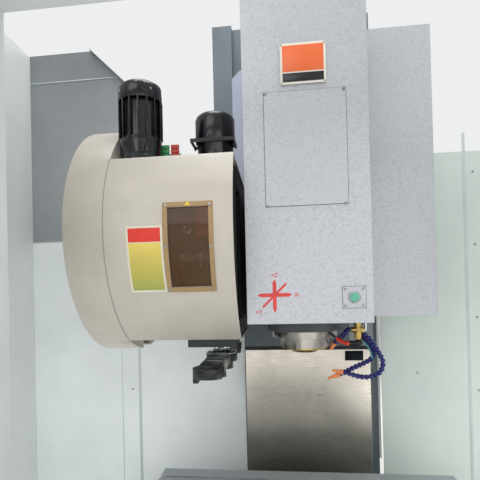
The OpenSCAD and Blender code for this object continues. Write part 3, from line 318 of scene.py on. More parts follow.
# Finishes by name: how each is made, then its values. A word stands for a colour that the user sets, alone
# or with the share of it that the second tone has
FINISHES = {
    # Cast iron under blue-grey paint: uneven, with oily patches
    "painted_cast_iron": (casting, "#59636b", "#454d54", 0.5, 6, 0.4),
    # The column's enamel on filled iron: a little smoother
    "column_enamel": (casting, "column", ("column", 0.8), 0.46, 5, 0.25),
    # Scraped table iron: bright flakes
    "table_iron": (scraped_iron, "#8d9498", "#6c7377"),
    # Ground guide steel: fine lines along the rail and a clean shine
    "ground_steel": (brushed_steel, "#c3c6c8", 0.22, 0.8, (1, 1, 0.03)),
    # Ball screws: rings of the ground thread
    "thread_of_y_screw": (turned_steel, "#aeb2b5", (0, -0.3, 0.5), 0.2, 10),
    "thread_of_z_screw": (turned_steel, "#aeb2b5", (0, 0.31, 1.9), 0.2, 10),
    "thread_of_x_screw": (turned_steel, "#aeb2b5", (0, -0.34, 0.658), 0.2, 10),
    # Blackened steel of the feet: dull and even
    "blackened_steel": (moulded, "#2a2c2f", 0.48, 2, 0.05),
    # Stoved black enamel of the motors: glossy, with a thin clear skin
    "gloss_black_enamel": (enamel, "#090a0e", "#0f1117", 0.2, 5, 0.02, 200, 0.15),
    # Powder coat of the enclosure: near white with a trace of green
    "powder_coat_pale": (enamel, "sheet", ("sheet", 0.9), 0.42, 5, 0.04),
    # Powder coat of rails and arms: mid grey
    "powder_coat_grey": (enamel, "#a4abb0", "#969da3", 0.45, 5, 0.04),
    # Powder coat of the rear sheets, in its three tones; the grey on the tall guard is painted shade, darker
    # towards its top
    "powder_coat_rear": (rear_coat, "#ced6d0", "#e9eeee", "#cfd8d1", "#8f9395", "#6f7477", "#a7b0ae"),
    # Powder coat of the joint strips: a shade darker than the walls
    "joint_coat": (enamel, "#c6cdcc", "#b5bdbc", 0.45, 5, 0.03),
    # Painted highlight along the tall guard's fold: paler and smoother than the painted shade beside it
    "bare_edge": (enamel, "#b9c0c4", "#a9b0b5", 0.4, 5, 0.02),
    # Chrome-plated steel: near mirror, with light wipe marks
    "chrome_plate": (turned_steel, "#d9dcdf", (0, 0, 0), 0.14, 3.0),
    # Nickel-plated steel of small screws: grey and softly bright
    "nickel_plate": (turned_steel, "#9ea1a5", (0, 0, 0), 0.3, 3.0, 0.85),
    # Extruded nitrile rubber: soft black with a dull bloom
    "nitrile_rubber": (moulded, "#17181a", 0.62, 2.0, 0.06),
    # Polycarbonate of the door windows: clear, with a cold tint
    "polycarbonate": (clear_sheet, "#aebfc4", 0.7),
    # Hammered enamel of the head: lilac-grey and speckled
    "hammertone_enamel": (hammertone, "head", ("head", 0.74), "#a3aabb"),
    # Moulded ABS of the button: clean and slightly glossy
    "teal_abs": (moulded, "#5fb89a", 0.3, 1.0, 0.02),
    # Shadow in the joint round a panel
    "shadow_gap": (moulded, "#5d6066", 0.7, 2, 0.02),
    # Screen print on the head: thin, worn a little uneven
    "screen_ink": (moulded, "marks", 0.5, 1.5, 0.02, 0.3),
    # Enamelled plates: flat fields of colour with a soft gloss
    "cream_enamel": (enamel, "#ece7dc", "#dcd5c6", 0.35),
    "orange_enamel": (enamel, "#f0743f", "#e8662f", 0.3),
    "black_enamel": (enamel, "#15161a", "#22242a", 0.25),
    # Anodised aluminium plate: black, with drawn lines
    "anodised_black": (brushed_steel, "#1d1f22", 0.4, 1.0),
    # Vinyl film on the drum: flat colours, the yellow one fading to green at its foot
    "cream_vinyl": (moulded, "#ddd8c4", 0.45, 2, 0.01),
    "red_vinyl": (moulded, "#df3320", 0.4, 2, 0.01),
    "yellow_vinyl": (two_tone, "#9aa04a", 1.66, 0.15, "#f0d56a", 0.42),
    "yellow_vinyl_plain": (moulded, "#e6c83f", 0.45, 2, 0.01),
    # Bare cast iron of the head: dark and rough
    "rough_cast_iron": (casting, "#4d5052", "#393b3d", 0.62, 4, 0.6),
    # Ground steel of the cartridge and the nose: rings about the axis, the nose warm from what it mirrors
    "ground_flange_steel": (turned_steel, "#b4afa8", SPINDLE_MIDDLE, 0.24, 6),
    "ground_nose_steel": (turned_steel, "#c9ae74", SPINDLE_MIDDLE, 0.22, 5),
    # Black-oxide socket screws: dark with a faint shine of oil
    "black_oxide_screws": (moulded, "#26282b", 0.35),
    # Satin enamel of the magazine: warm grey, in wide soft clouds
    "greige_enamel": (enamel, "magazine", ("magazine", 0.82), 0.4, 4, 0.03, 300),
    # Moulded ABS of the window frame: bronze brown
    "bronze_abs": (moulded, "#a3855a", 0.42, 1.0, 0.04),
    # Cast acrylic of the magazine's pane: amber, half clear
    "amber_acrylic": (clear_sheet, "#5c3c17", 0.56, 0.06),
    # Milled disc of the magazine: grey and finely scored
    "machined_disc_steel": (brushed_steel, "#8d9194", 0.36, 1.2, (1, 1, 1)),
    # Moulded nylon of the pots: milky and smooth
    "nylon_natural": (moulded, "#d4d6cf", 0.38, 1.0, 0.02),
    # Mastic in the drum's seam: dull
    "seam_mastic": (moulded, "#9a958a", 0.6, 2, 0.05),
    # Cast cam box under olive paint
    "olive_casting": (casting, "#59604a", "#3b3f31", 0.5, 4, 0.4),
    # Primer of the switch box: rusty orange
    "red_oxide_paint": (enamel, "#b4552f", "#8c3f22", 0.4),
    # Moulded ABS of fan, handwheel and knobs: black and slightly dull
    "black_abs": (moulded, "#1f2226", 0.45, 1.2, 0.03),
    # Oxide-blackened steel of the brake lever: dark and smooth
    "oxide_steel": (moulded, "#15171b", 0.35, 1.0, 0.02),
    # Dark paint on the cast gearbox: rough and oily
    "dark_cast_iron": (casting, "#24272a", "#191b1d", 0.55, 4, 0.5),
    # Polyamide terminal blocks: plain colours, smooth
    "green_polyamide": (moulded, "#3c8f55", 0.4),
    "red_polyamide": (moulded, "#b93a2e", 0.4),
    # Oxide-blackened cast steel of the swing arm: almost black, with an oily shine
    "oxide_cast_steel": (casting, "#131517", "#0b0c0d", 0.36, 3, 0.15),
    # Ground cover plates of the arm: fine lines
    "ground_plate": (brushed_steel, "#8d9093", 0.3, 0.9),
    # Cold-rolled stainless sheet: long level lines and worn patches
    "rolled_stainless": (brushed_steel, "#d8d0c4", 0.3, 1.6, (0.03, 1, 1), 0.2),
    # Enamel of the apron: slate, paler on the side cover's part
    "apron_enamel": (two_tone, "#4f595e", 0.245, 0.002, "#8b918f", 0.42, "X"),
    # Polyacetal hose links and nozzles: smooth, softly glossy
    "navy_polyacetal": (moulded, "hose", 0.28, 1.0, 0.02),
    "orange_polyacetal": (moulded, "#e8894f", 0.34, 1.0, 0.02),
    # Turned brass: fine rings, yellow shine
    "turned_brass": (turned_steel, "#bfa263", (0.17, -0.45, 1.5), 0.24, 1.2),
    # Moulded nylon of the valve's elbow: black
    "black_nylon_elbow": (moulded, "#16171a", 0.35, 1.0, 0.02),
    # Polyurethane tube: red on the valve's left, teal on its right
    "polyurethane_tube": (two_tone, "#e0402c", 0.16, 0.001, "#2f8f8f", 0.3, "X"),
    # Powder coat of the control box: light grey
    "panel_grey_coat": (enamel, "#cfd3d4", "#c0c5c7", 0.42, 4, 0.03),
    # Moulded ABS of the stop button: glossy red
    "red_abs": (moulded, "#c8281e", 0.3, 1.0, 0.02),
    # Glass of the screen, switched off: near black
    "screen_glass": (clear_sheet, "#10181d", 0.0, 0.08),
    # Moulded key caps: pale and blue
    "key_caps": (moulded, "#d8dad8", 0.4),
    "blue_key_caps": (moulded, "#5b88a8", 0.35),
    # Floor of pale concrete
    "pale_concrete": (concrete, "#e4e4e1", "#e6e6e3", "#dfdfdc"),
}


def finish(name):
    """The finish of that name in the list, made on its first use"""
    made = bpy.data.materials.get(name)
    if made:
        return made
    make, *values = FINISHES[name]
    settings = bpy.context.scene.machining_center_colours
    for k, value in enumerate(values):
        if isinstance(value, str) and value.startswith("#"):
            values[k] = linear(value)
        elif isinstance(value, str) and hasattr(settings, value):
            values[k] = tuple(getattr(settings, value))
        elif isinstance(value, tuple) and isinstance(value[0], str):
            values[k] = darker(getattr(settings, value[0]), value[1])
    return make(name, *values)


# Modelling


def only(piece):
    """Makes piece the one selected and active object"""
    if bpy.context.object and bpy.context.object.mode != "OBJECT":
        bpy.ops.object.mode_set(mode="OBJECT")
    bpy.ops.object.select_all(action="DESELECT")
    if piece:
        piece.select_set(True)
        bpy.context.view_layer.objects.active = piece


def pick_faces(test):
    """Selects the faces in edit mode whose centre and normal pass the test"""
    mesh = bmesh.from_edit_mesh(bpy.context.object.data)
    for edge in mesh.edges:
        edge.select_set(False)
    for vert in mesh.verts:
        vert.select_set(False)
    for face in mesh.faces:
        face.select_set(bool(test(face.calc_center_median(), face.normal)))
    bmesh.update_edit_mesh(bpy.context.object.data)


def edit_all():
    """Opens the active piece in edit mode with all of it selected"""
    bpy.ops.object.mode_set(mode="EDIT")
    bpy.ops.mesh.select_all(action="SELECT")


def close_shell(merge=True):
    """Merges the doubles of the piece in edit mode, points its faces outwards and leaves edit mode"""
    bpy.ops.mesh.select_all(action="SELECT")
    if merge:
        bpy.ops.mesh.remove_doubles(threshold=1e-6)
    bpy.ops.mesh.normals_make_consistent(inside=False)
    bpy.ops.object.mode_set(mode="OBJECT")


def place_whole(piece):
    """Moves the piece's place, turn and scale into its mesh"""
    only(piece)
    bpy.ops.object.transform_apply(location=True, rotation=True, scale=True)


def block(low, high, edge=0.0):
    """A box between two corners, its edges rounded by edge"""
    only(None)
    middle = [(a + b) / 2 for a, b in zip(low, high)]
    bpy.ops.mesh.primitive_cube_add(size=1, location=middle, scale=[b - a for a, b in zip(low, high)])
    piece = bpy.context.object
    place_whole(piece)
    if edge:
        edit_all()
        bpy.ops.mesh.bevel(offset=edge, segments=2, affect="EDGES")
        bpy.ops.object.mode_set(mode="OBJECT")
    return piece


def turned(profile, sides=24):
    """A body of rotation on +Z: profile gives (radius, height) pairs from the bottom up"""
    only(None)
    radius, height = profile[0]
    bpy.ops.mesh.primitive_circle_add(vertices=sides, radius=radius, fill_type="NGON",
                                      location=(0, 0, height))
    piece = bpy.context.object
    place_whole(piece)
    edit_all()
    for next_radius, next_height in profile[1:]:
        bpy.ops.mesh.extrude_region_move(TRANSFORM_OT_translate={"value": (0, 0, next_height - height)})
        k = next_radius / radius
        bpy.ops.transform.resize(value=(k, k, 1), center_override=(0, 0, next_height))
        radius, height = next_radius, next_height
    close_shell()
    return piece


def joined(pieces):
    """Joins pieces into the first of them"""
    only(pieces[0])
    for piece in pieces:
        piece.select_set(True)
    if len(pieces) > 1:
        bpy.ops.object.join()
    return bpy.context.object


def copies(master, places):
    """Copies the master to each (point, direction of its +Z) and joins them into one piece"""
    made = []
    for point, direction in places:
        copy = master.copy()
        copy.data = master.data.copy()
        bpy.context.scene.collection.objects.link(copy)
        turn = Vector(direction).to_track_quat("Z", "Y").to_matrix().to_4x4()
        copy.data.transform(Matrix.Translation(Vector(point)) @ turn)
        made.append(copy)
    bpy.data.objects.remove(master)
    return joined(made)


def done(piece, name, finish_name, body="root", angle=35):
    """Names, smooths and finishes a piece, and sets it on the body that carries it"""
    place_whole(piece)
    bpy.ops.object.shade_smooth_by_angle(angle=math.radians(angle))
    piece.name = name
    piece.data.name = name
    piece.data.materials.clear()
    piece.data.materials.append(finish(finish_name))
    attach(piece, body)
    only(None)
    return piece


def dress(finish_name, *names, edge_mm=0.0):
    """Gives CAD nodes a finish, and breaks their sharp edges by edge_mm"""
    for name in names:
        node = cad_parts[name]
        node.data.materials.clear()
        node.data.materials.append(finish(finish_name))
        if edge_mm:
            weld = node.modifiers.new("weld", "WELD")
            weld.merge_threshold = 0.02 * MM
            flat = node.modifiers.new("flat faces", "DECIMATE")
            flat.decimate_type = "DISSOLVE"
            flat.angle_limit = math.radians(1)
            bevel = node.modifiers.new("edges", "BEVEL")
            bevel.width = edge_mm * MM
            bevel.segments = 2
            bevel.limit_method = "ANGLE"
            bevel.angle_limit = math.radians(50)
            bevel.use_clamp_overlap = True
            bevel.harden_normals = True


def screw(radius, socket=True):
    """Button-head screw at the origin, facing +Z, with its hexagon socket"""
    head = turned([(radius, 0), (radius, radius * 0.18), (radius * 0.9, radius * 0.42),
                   (radius * 0.68, radius * 0.58)], 20)
    if socket:
        bpy.ops.object.mode_set(mode="EDIT")
        pick_faces(lambda centre, normal: normal.z > 0.99 and centre.z > radius * 0.5)
        bpy.ops.mesh.inset(thickness=radius * 0.28)
        bpy.ops.mesh.extrude_region_move(TRANSFORM_OT_translate={"value": (0, 0, -radius * 0.35)})
        bpy.ops.object.mode_set(mode="OBJECT")
    return head


def screws(name, radius_mm, places, body="root", finish_name="nickel_plate", socket=True):
    """One piece of like screws, at each (point, direction that the head faces)"""
    return done(copies(screw(radius_mm * MM, socket), places), name, finish_name, body)


def hexagon_bolt(across):
    """Hexagon-head bolt with its washer, facing +Z"""
    washer = turned([(across * 0.62, 0), (across * 0.62, across * 0.06), (across * 0.58, across * 0.1)], 24)
    head = turned([(across * 0.52, across * 0.09), (across * 0.52, across * 0.42),
                   (across * 0.44, across * 0.5)], 6)
    return joined([washer, head])


def arc_plate(x0, x1, from_degrees, to_degrees, radius, thickness):
    """A plate bent round the magazine's axis, between two elevations seen from the front"""
    only(None)
    bpy.ops.mesh.primitive_plane_add(size=1, location=(0, 0, 0))
    piece = bpy.context.object
    place_whole(piece)
    start = math.radians(from_degrees)
    sweep = math.radians(to_degrees - from_degrees)
    across = Vector((1, 0, 0))
    outward = Vector((0, -math.cos(start), math.sin(start)))
    middle = Vector(((x0 + x1) / 2, SPINDLE_Y, DRUM_Z)) + outward * (radius + thickness / 2)
    turn = Matrix((across, outward, across.cross(outward))).transposed().to_4x4()
    size = Matrix.Diagonal((x1 - x0, thickness, 1, 1))
    piece.data.transform(Matrix.Translation(middle) @ turn @ size)
    edit_all()
    steps = max(4, round(abs(to_degrees - from_degrees) / 2))
    bpy.ops.mesh.spin(steps=steps, angle=sweep, center=(0, SPINDLE_Y, DRUM_Z), axis=(1, 0, 0))
    close_shell()
    return piece


def flat_frame(x0, x1, z0, z1, width, y0, y1):
    """A flat frame of four strips that faces the front; its outside is x0 to x1 and z0 to z1"""
    return joined([block((x0, y0, z0), (x0 + width, y1, z1)), block((x1 - width, y0, z0), (x1, y1, z1)),
                   block((x0 + width, y0, z0), (x1 - width, y1, z0 + width)),
                   block((x0 + width, y0, z1 - width), (x1 - width, y1, z1))])


def on_drum(x, degrees, radius):
    """Point and outward direction on the magazine's round, at an elevation seen from the front"""
    a = math.radians(degrees)
    outward = (0, -math.cos(a), math.sin(a))
    return (x, SPINDLE_Y + radius * outward[1], DRUM_Z + radius * outward[2]), outward


def round_a_shaft(x, y, radius, angle):
    """Point at that radius and angle about a vertical axis through x and y, as x and y"""
    a = math.radians(angle)
    return x + radius * math.cos(a), y + radius * math.sin(a)


def smooth_path(points, step):
    """Points a step apart along a smooth curve through the given ones, with the direction at each"""
    ends = [points[0]] + list(points) + [points[-1]]
    fine = []
    for k in range(len(points) - 1):
        a, b, c, d = (Vector(p) for p in ends[k : k + 4])
        for i in range(24):
            f = i / 24
            fine.append(0.5 * (2 * b + (c - a) * f + (2 * a - 5 * b + 4 * c - d) * f * f
                               + (3 * b - a - 3 * c + d) * f**3))
    fine.append(Vector(points[-1]))
    length = sum((q - p).length for p, q in zip(fine, fine[1:]))
    count = max(1, round(length / step))
    spots, walked, k = [], 0.0, 0
    for i in range(count + 1):
        target = length * i / count
        while k < len(fine) - 2 and walked + (fine[k + 1] - fine[k]).length < target:
            walked += (fine[k + 1] - fine[k]).length
            k += 1
        run = fine[k + 1] - fine[k]
        spots.append((fine[k] + run * ((target - walked) / run.length), run.normalized()))
    return spots


# Sizes and colours

COLOUR = {"size": 3, "subtype": "COLOR", "min": 0, "max": 1}


class MachiningCenterColours(bpy.types.PropertyGroup):
    """Colours of the large painted surfaces"""

    head: bpy.props.FloatVectorProperty(name="Head", description="Hammertone enamel of the head covers",
                                        default=linear("#c6c8cd"), **COLOUR)
    magazine: bpy.props.FloatVectorProperty(name="Magazine", description="Satin enamel of the magazine",
                                            default=linear("#c6bfb3"), **COLOUR)
    sheet: bpy.props.FloatVectorProperty(name="Sheet", description="Powder coat of the enclosure",
                                         default=linear("#e0e4e3"), **COLOUR)
    column: bpy.props.FloatVectorProperty(name="Column", description="Enamel of the column",
                                          default=linear("#6c767d"), **COLOUR)
    marks: bpy.props.FloatVectorProperty(name="Marks", description="Print of the axis arrows",
                                         default=linear("#d8423f"), **COLOUR)
    hose: bpy.props.FloatVectorProperty(name="Hose", description="Nylon of the jointed hoses",
                                        default=linear("#1a1a66"), **COLOUR)


class MachiningCenterSizes(bpy.types.PropertyGroup):
    """Sizes of the small fittings"""

    panel_screw: bpy.props.FloatProperty(name="Panel screw", description="Head radius of the panel screws",
                                         default=4.6 * MM, min=3 * MM, max=7 * MM, unit="LENGTH")
    link: bpy.props.FloatProperty(name="Hose link", description="Length of one link of the jointed hoses",
                                  default=14 * MM, min=10 * MM, max=20 * MM, unit="LENGTH")
    edge: bpy.props.FloatProperty(name="Sheet edge", description="Rounding of the folded sheet edges",
                                  default=1.6 * MM, min=0.5 * MM, max=3 * MM, unit="LENGTH")
    arrow: bpy.props.FloatProperty(name="Arrow width", description="Width of the axis arrows",
                                   default=11.5 * MM, min=5 * MM, max=14 * MM, unit="LENGTH")


# Pieces


class MC_OT_castings(bpy.types.Operator):
    """Bed, saddle, table, column, guide rails and screws"""

    bl_idname = "machining_center.castings"
    bl_label = "Castings and guides"

    def execute(self, context):
        dress("painted_cast_iron", "bed", "saddle", edge_mm=2.5)
        dress("column_enamel", "column", "magazine_bracket", edge_mm=2)
        dress("table_iron", "table", edge_mm=1)
        dress("ground_steel", "linear_rails", edge_mm=0.8)
        for name in ("y_screw", "z_screw", "x_screw"):
            dress("thread_of_" + name, name)
        dress("blackened_steel", "leveling_feet", edge_mm=1)
        rail_x, first_y, pitch = 0.29, -0.86, 0.135
        rail_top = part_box("linear_rails")[0][2] + 0.0385
        bolts = [((side * rail_x, first_y + k * pitch, rail_top), UP) for side in (-1, 1) for k in range(9)]
        screws("rail_screws", 7, bolts)
        return {"FINISHED"}


class MC_OT_axis_motors(bpy.types.Operator):
    """Servo motors of the axes and the spindle"""

    bl_idname = "machining_center.axis_motors"
    bl_label = "Axis motors"

    def execute(self, context):
        dress("gloss_black_enamel", "axis_motors", "x_motor", "spindle_motor", edge_mm=1.2)
        return {"FINISHED"}


class MC_OT_enclosure(bpy.types.Operator):
    """Sheet-metal guard round the machine, its joint strips, bolts, chip tray and coolant tank"""

    bl_idname = "machining_center.enclosure"
    bl_label = "Enclosure"

    def execute(self, context):
        edge = context.scene.machining_center_sizes.edge
        dress("powder_coat_pale", "side_walls", "front_frame", edge_mm=edge / MM)
        dress("powder_coat_pale", "chip_tray", "coolant_tank", edge_mm=1)
        dress("powder_coat_grey", "door_rails", "pendant_arm", edge_mm=1)
        dress("powder_coat_rear", "rear_walls", edge_mm=1)
        self.wall_joints()
        lone_x, edge_x, lowest, pitch = 0.576, 0.855, 1.15, 0.35
        wall = [((lone_x, REAR_WALL, z), FRONT) for z in (1.233, 1.72, 2.2)]
        wall += [((x, REAR_WALL, lowest + k * pitch), FRONT) for x in (-edge_x, edge_x) for k in range(4)]
        screws("wall_screws", 6, wall)
        side_x = 1.4
        case = [((x, CASE_FRONT, z), FRONT) for x in (-1.36, -0.76, 0.76, 1.36) for z in (0.12, 0.86)]
        case += [((s * side_x, y, z), (s, 0, 0)) for s in (-1, 1) for y in (-0.95, -0.4, 0.18)
                 for z in (0.12, 1.2, 2.3)]
        screws("case_screws", 7, case)
        return {"FINISHED"}

    def wall_joints(self):
        """Joint strips of the rear sheets, standing just out of them, and the tall guard's level fold"""
        foot, right_top = 0.5, 2.39
        strips = [block((x, REAR_WALL - 1.5 * MM, foot), (x + width, REAR_WALL + 0.5 * MM, top), 0.5 * MM)
                  for x, width, top in ((-0.822, 0.014, GUARD_FOOT), (-0.912, 0.004, GUARD_FOOT),
                                        (0.808, 0.014, right_top))]
        done(joined(strips), "wall_joint_strips", "joint_coat")
        # A real fold; its paler coat is a painted highlight, the light caught along it
        fold = block((-1.392, REAR_WALL - 3 * MM, 2.795), (-0.895, REAR_WALL + 0.5 * MM, 2.801), 1 * MM)
        done(fold, "guard_fold", "bare_edge")


class MC_OT_doors(bpy.types.Operator):
    """Sliding doors with their windows, gaskets and grips"""

    bl_idname = "machining_center.doors"
    bl_label = "Sliding doors"

    def execute(self, context):
        edge = context.scene.machining_center_sizes.edge
        dress("powder_coat_pale", "left_door", "right_door", edge_mm=edge / MM)
        dress("polycarbonate", "left_door_window", "right_door_window")
        door_gap, door_thickness = 0.012, 0.034
        grip_inset, grip_radius, grip_foot, grip_top = 0.05, 15.8 * MM, 1.56, 1.78
        face = CASE_FRONT - door_gap - door_thickness
        for side, node, body in ((-1, "left_door", "door_left"), (1, "right_door", "door_right")):
            low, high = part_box(node + "_window")
            gasket = flat_frame(low[0] + 2 * MM, high[0] - 2 * MM, low[2] + 3 * MM, high[2] - 3 * MM,
                                14 * MM, face - 2 * MM, face + 4 * MM)
            done(gasket, node + "_gasket", "nitrile_rubber", body)
            low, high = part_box(node)
            grip_x = high[0] - grip_inset if side < 0 else low[0] + grip_inset
            grip = turned([(grip_radius - 1.2 * MM, grip_foot), (grip_radius, grip_foot + 6 * MM),
                           (grip_radius, grip_top - 6 * MM), (grip_radius - 1.2 * MM, grip_top)], 24)
            grip.data.transform(Matrix.Translation((grip_x, low[1] + 0.014, 0)))
            done(grip, node + "_grip", "nitrile_rubber", body)
        return {"FINISHED"}


class MC_OT_cabinet(bpy.types.Operator):
    """Electrical cabinet at the rear, with its door and the door's screws"""

    bl_idname = "machining_center.cabinet"
    bl_label = "Electrical cabinet"

    def execute(self, context):
        edge = context.scene.machining_center_sizes.edge
        dress("powder_coat_pale", "electrical_cabinet", "cabinet_door", edge_mm=edge / MM)
        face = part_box("cabinet_door")[1][1] - 0.020
        places = [((x, face, z), BACK) for x in (-0.5, 0.5) for z in (0.64, 1.31, 1.98)]
        screws("cabinet_screws", 6, places, "cabinet_hatch")
        return {"FINISHED"}


class MC_OT_head_covers(bpy.types.Operator):
    """Boxed covers of the spindle head, with the access panel's screws and the button"""

    bl_idname = "machining_center.head_covers"
    bl_label = "Head covers"

    def execute(self, context):
        sizes = context.scene.machining_center_sizes
        dress("hammertone_enamel", "head_cover", "side_cover", edge_mm=sizes.edge / MM)
        dress("hammertone_enamel", "cover_plates")
        self.gaps()
        dress("teal_abs", "push_button", edge_mm=1.2)
        panel = [((x * MM, HEAD_FRONT - 3 * MM, COVER_BOTTOM + z * MM), FRONT)
                 for x, z in ((-119, 707), (117, 707), (-118, 362), (116, 362))]
        screws("panel_screws", sizes.panel_screw / MM, panel, "head")
        plate_face = HEAD_FRONT - 2 * MM
        plate = [((BUTTON_X + x * 26 * MM, plate_face, BUTTON_Z + z * 25 * MM), FRONT)
                 for x in (-1, 1) for z in (-1, 1)]
        screws("button_plate_screws", 4.2, plate, "head")
        bezel = turned([(17.2 * MM, 0), (18.6 * MM, 0.8 * MM), (18.6 * MM, 3 * MM), (16.6 * MM, 4.6 * MM),
                        (13.4 * MM, 5 * MM), (13.3 * MM, 0.2 * MM)], 40)
        ring = copies(bezel, [((BUTTON_X, plate_face, BUTTON_Z), FRONT)])
        done(ring, "button_ring", "nickel_plate", "head", angle=30)
        return {"FINISHED"}

    def gaps(self):
        """Shadow gaps round the access panel and the button's plate"""
        wide = 1.6 * MM
        rims = [flat_frame(x0 - wide, x1 + wide, z0 - wide, z1 + wide, 1.5 * MM, HEAD_FRONT - 0.4 * MM,
                           HEAD_FRONT + 0.2 * MM)
                for x0, x1, z0, z1 in ((-0.1235, 0.1235, 1.911, 2.262), (0.0995, 0.1665, 1.596, 1.660))]
        done(joined(rims), "panel_gaps", "shadow_gap", "head")


class MC_OT_axis_marks(bpy.types.Operator):
    """Printed arrows of the three axes on the head cover"""

    bl_idname = "machining_center.axis_marks"
    bl_label = "Axis marks"

    def execute(self, context):
        width = context.scene.machining_center_sizes.arrow
        # Ends of the arrows and feet of the letters, in millimetres from the cover's middle and lower edge
        bars = [self.arrow((-104, 34), (-104, 138), width, 0.15),
                self.arrow((-157, 89), (-50, 89), width, 0.3),
                self.arrow((-143, 50), (-66, 126), width * 0.6, 0.45)]
        done(joined(bars), "axis_arrows", "screen_ink", "head")
        letters = [self.letters(word, x, z)
                   for word, x, z in (("+Z", -104, 144), ("X-", -36, 83), ("+Y", -153, 32))]
        done(joined(letters), "axis_letters", "screen_ink", "head")
        return {"FINISHED"}

    def letters(self, word, x, z):
        """The name of an axis, flat on the cover's front"""
        only(None)
        bpy.ops.object.text_add(location=(x * MM, HEAD_FRONT - 0.2 * MM, COVER_BOTTOM + z * MM),
                                rotation=(math.radians(90), 0, 0))
        text = bpy.context.object
        text.data.body = word
        text.data.size = 17 * MM
        text.data.extrude = 0.2 * MM
        text.data.offset = 0.3 * MM
        text.data.align_x = "CENTER"
        bpy.ops.object.convert(target="MESH")
        place_whole(bpy.context.object)
        return bpy.context.object

    def arrow(self, start, end, width, raised):
        """A flat bar with pointed ends between two points of the cover, raised clear of the bar below it"""
        a, b = (Vector((x * MM, HEAD_FRONT - raised * MM, COVER_BOTTOM + z * MM)) for x, z in (start, end))
        half = (b - a).length / 2
        only(None)
        bpy.ops.mesh.primitive_circle_add(vertices=6, radius=1, fill_type="NGON",
                                          rotation=(math.radians(90), 0, 0))
        bar = bpy.context.object
        place_whole(bar)
        for vert in bar.data.vertices:
            tip = abs(vert.co.z) > 0.9
            along = math.copysign(half - (0 if tip else width), vert.co.z)
            across = math.copysign(width / 2, vert.co.x)
            vert.co.x, vert.co.z = along, 0 if tip else across
        edit_all()
        bpy.ops.mesh.extrude_region_move(TRANSFORM_OT_translate={"value": (0, 0.3 * MM, 0)})
        close_shell(merge=False)
        run = (b - a).normalized()
        turn = Matrix((run, Vector((0, 1, 0)), run.cross(Vector((0, 1, 0))))).transposed().to_4x4()
        bar.data.transform(Matrix.Translation((a + b) / 2) @ turn)
        return bar


class MC_OT_blank_plates(bpy.types.Operator):
    """Bare plates on the head cover, the magazine and the way cover, in plain fields of colour"""

    bl_idname = "machining_center.blank_plates"
    bl_label = "Blank plates"

    def execute(self, context):
        self.head_plate()
        self.magazine_plate()
        bare = block((0.226, 0.1935, 1.303), (0.312, 0.1965, 1.350), 0.4 * MM)
        done(bare, "way_cover_plate", "anodised_black", "cover_upper")
        return {"FINISHED"}

    def head_plate(self):
        """Plate on the head cover: a cream border round an orange field and a black one, with four rivets"""
        y = HEAD_FRONT - 6 * MM
        left, right, low, high = -0.073, 0.069, COVER_BOTTOM + 0.728, COVER_BOTTOM + 0.858
        for name, finish_name, inset, foot, top, raised in (
            ("plate_border", "cream_enamel", 2 * MM, low + 2 * MM, high - 2 * MM, 0),
            ("plate_upper_field", "orange_enamel", 9 * MM, low + 40 * MM, high - 9 * MM, 0.4 * MM),
            ("plate_lower_field", "black_enamel", 9 * MM, low + 9 * MM, low + 36 * MM, 0.4 * MM),
        ):
            back = y - raised
            field = block((left + inset, back - 0.5 * MM, foot), (right - inset, back, top), 0.2 * MM)
            done(field, name, finish_name, "head")
        rivets = [((x, y - 0.5 * MM, z), FRONT) for x in (left + 6 * MM, right - 6 * MM)
                  for z in (low + 6 * MM, high - 6 * MM)]
        screws("plate_rivets", 2.6, rivets, "head", socket=False)

    def magazine_plate(self):
        """Bare plate bent round the magazine: a cream rim, a red head and a yellow field"""
        x0, x1, border = -0.523, -0.416, 6 * MM
        rim = arc_plate(x0, x1, -28.3, 0.1, DRUM_R + 0.1 * MM, 0.5 * MM)
        done(rim, "notice_rim", "cream_vinyl", angle=20)
        head = arc_plate(x0 + border, x1 - border, -6.6, -0.9, DRUM_R + 0.5 * MM, 0.3 * MM)
        done(head, "notice_header", "red_vinyl", angle=20)
        field = arc_plate(x0 + border, x1 - border, -27.4, -7.0, DRUM_R + 0.5 * MM, 0.3 * MM)
        done(field, "notice_field", "yellow_vinyl", angle=20)


class MC_OT_spindle(bpy.types.Operator):
    """Spindle head casting, cartridge and nose, with the flange's cover ring and their bolts"""

    bl_idname = "machining_center.spindle"
    bl_label = "Spindle"

    def execute(self, context):
        dress("rough_cast_iron", "head_casting", edge_mm=1.5)
        dress("ground_flange_steel", "spindle_cartridge")
        dress("ground_nose_steel", "spindle")
        flange_shown, ring_bore, ring_radius = 25 * MM, 87.2 * MM, 115 * MM
        flange_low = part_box("head_casting")[0][2] - flange_shown
        ring = turned([(ring_bore, 0), (ring_radius - 0.6 * MM, 0), (ring_radius, 0.6 * MM),
                       (ring_radius, 7 * MM)], 96)
        bpy.ops.object.mode_set(mode="EDIT")
        pick_faces(lambda centre, normal: Vector(centre).length < 1 * MM)
        bpy.ops.mesh.delete(type="ONLY_FACE")
        bpy.ops.object.mode_set(mode="OBJECT")
        ring.data.transform(Matrix.Translation((0, SPINDLE_Y, flange_low)))
        done(ring, "flange_cover_ring", "ground_flange_steel", "head", angle=30)
        sunk = flange_low + 3.3 * MM
        bolts = [((*round_a_shaft(0, SPINDLE_Y, 103 * MM, 60 * k), sunk), DOWN) for k in range(6)]
        screws("flange_bolts", 6.5, bolts, "head", "black_oxide_screws")
        cap_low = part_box("spindle_cartridge")[0][2]
        cap = [((*round_a_shaft(0, SPINDLE_Y, 79 * MM, 18 + 45 * k), cap_low), DOWN) for k in range(8)]
        screws("cap_bolts", 4, cap, "head", "black_oxide_screws")
        return {"FINISHED"}


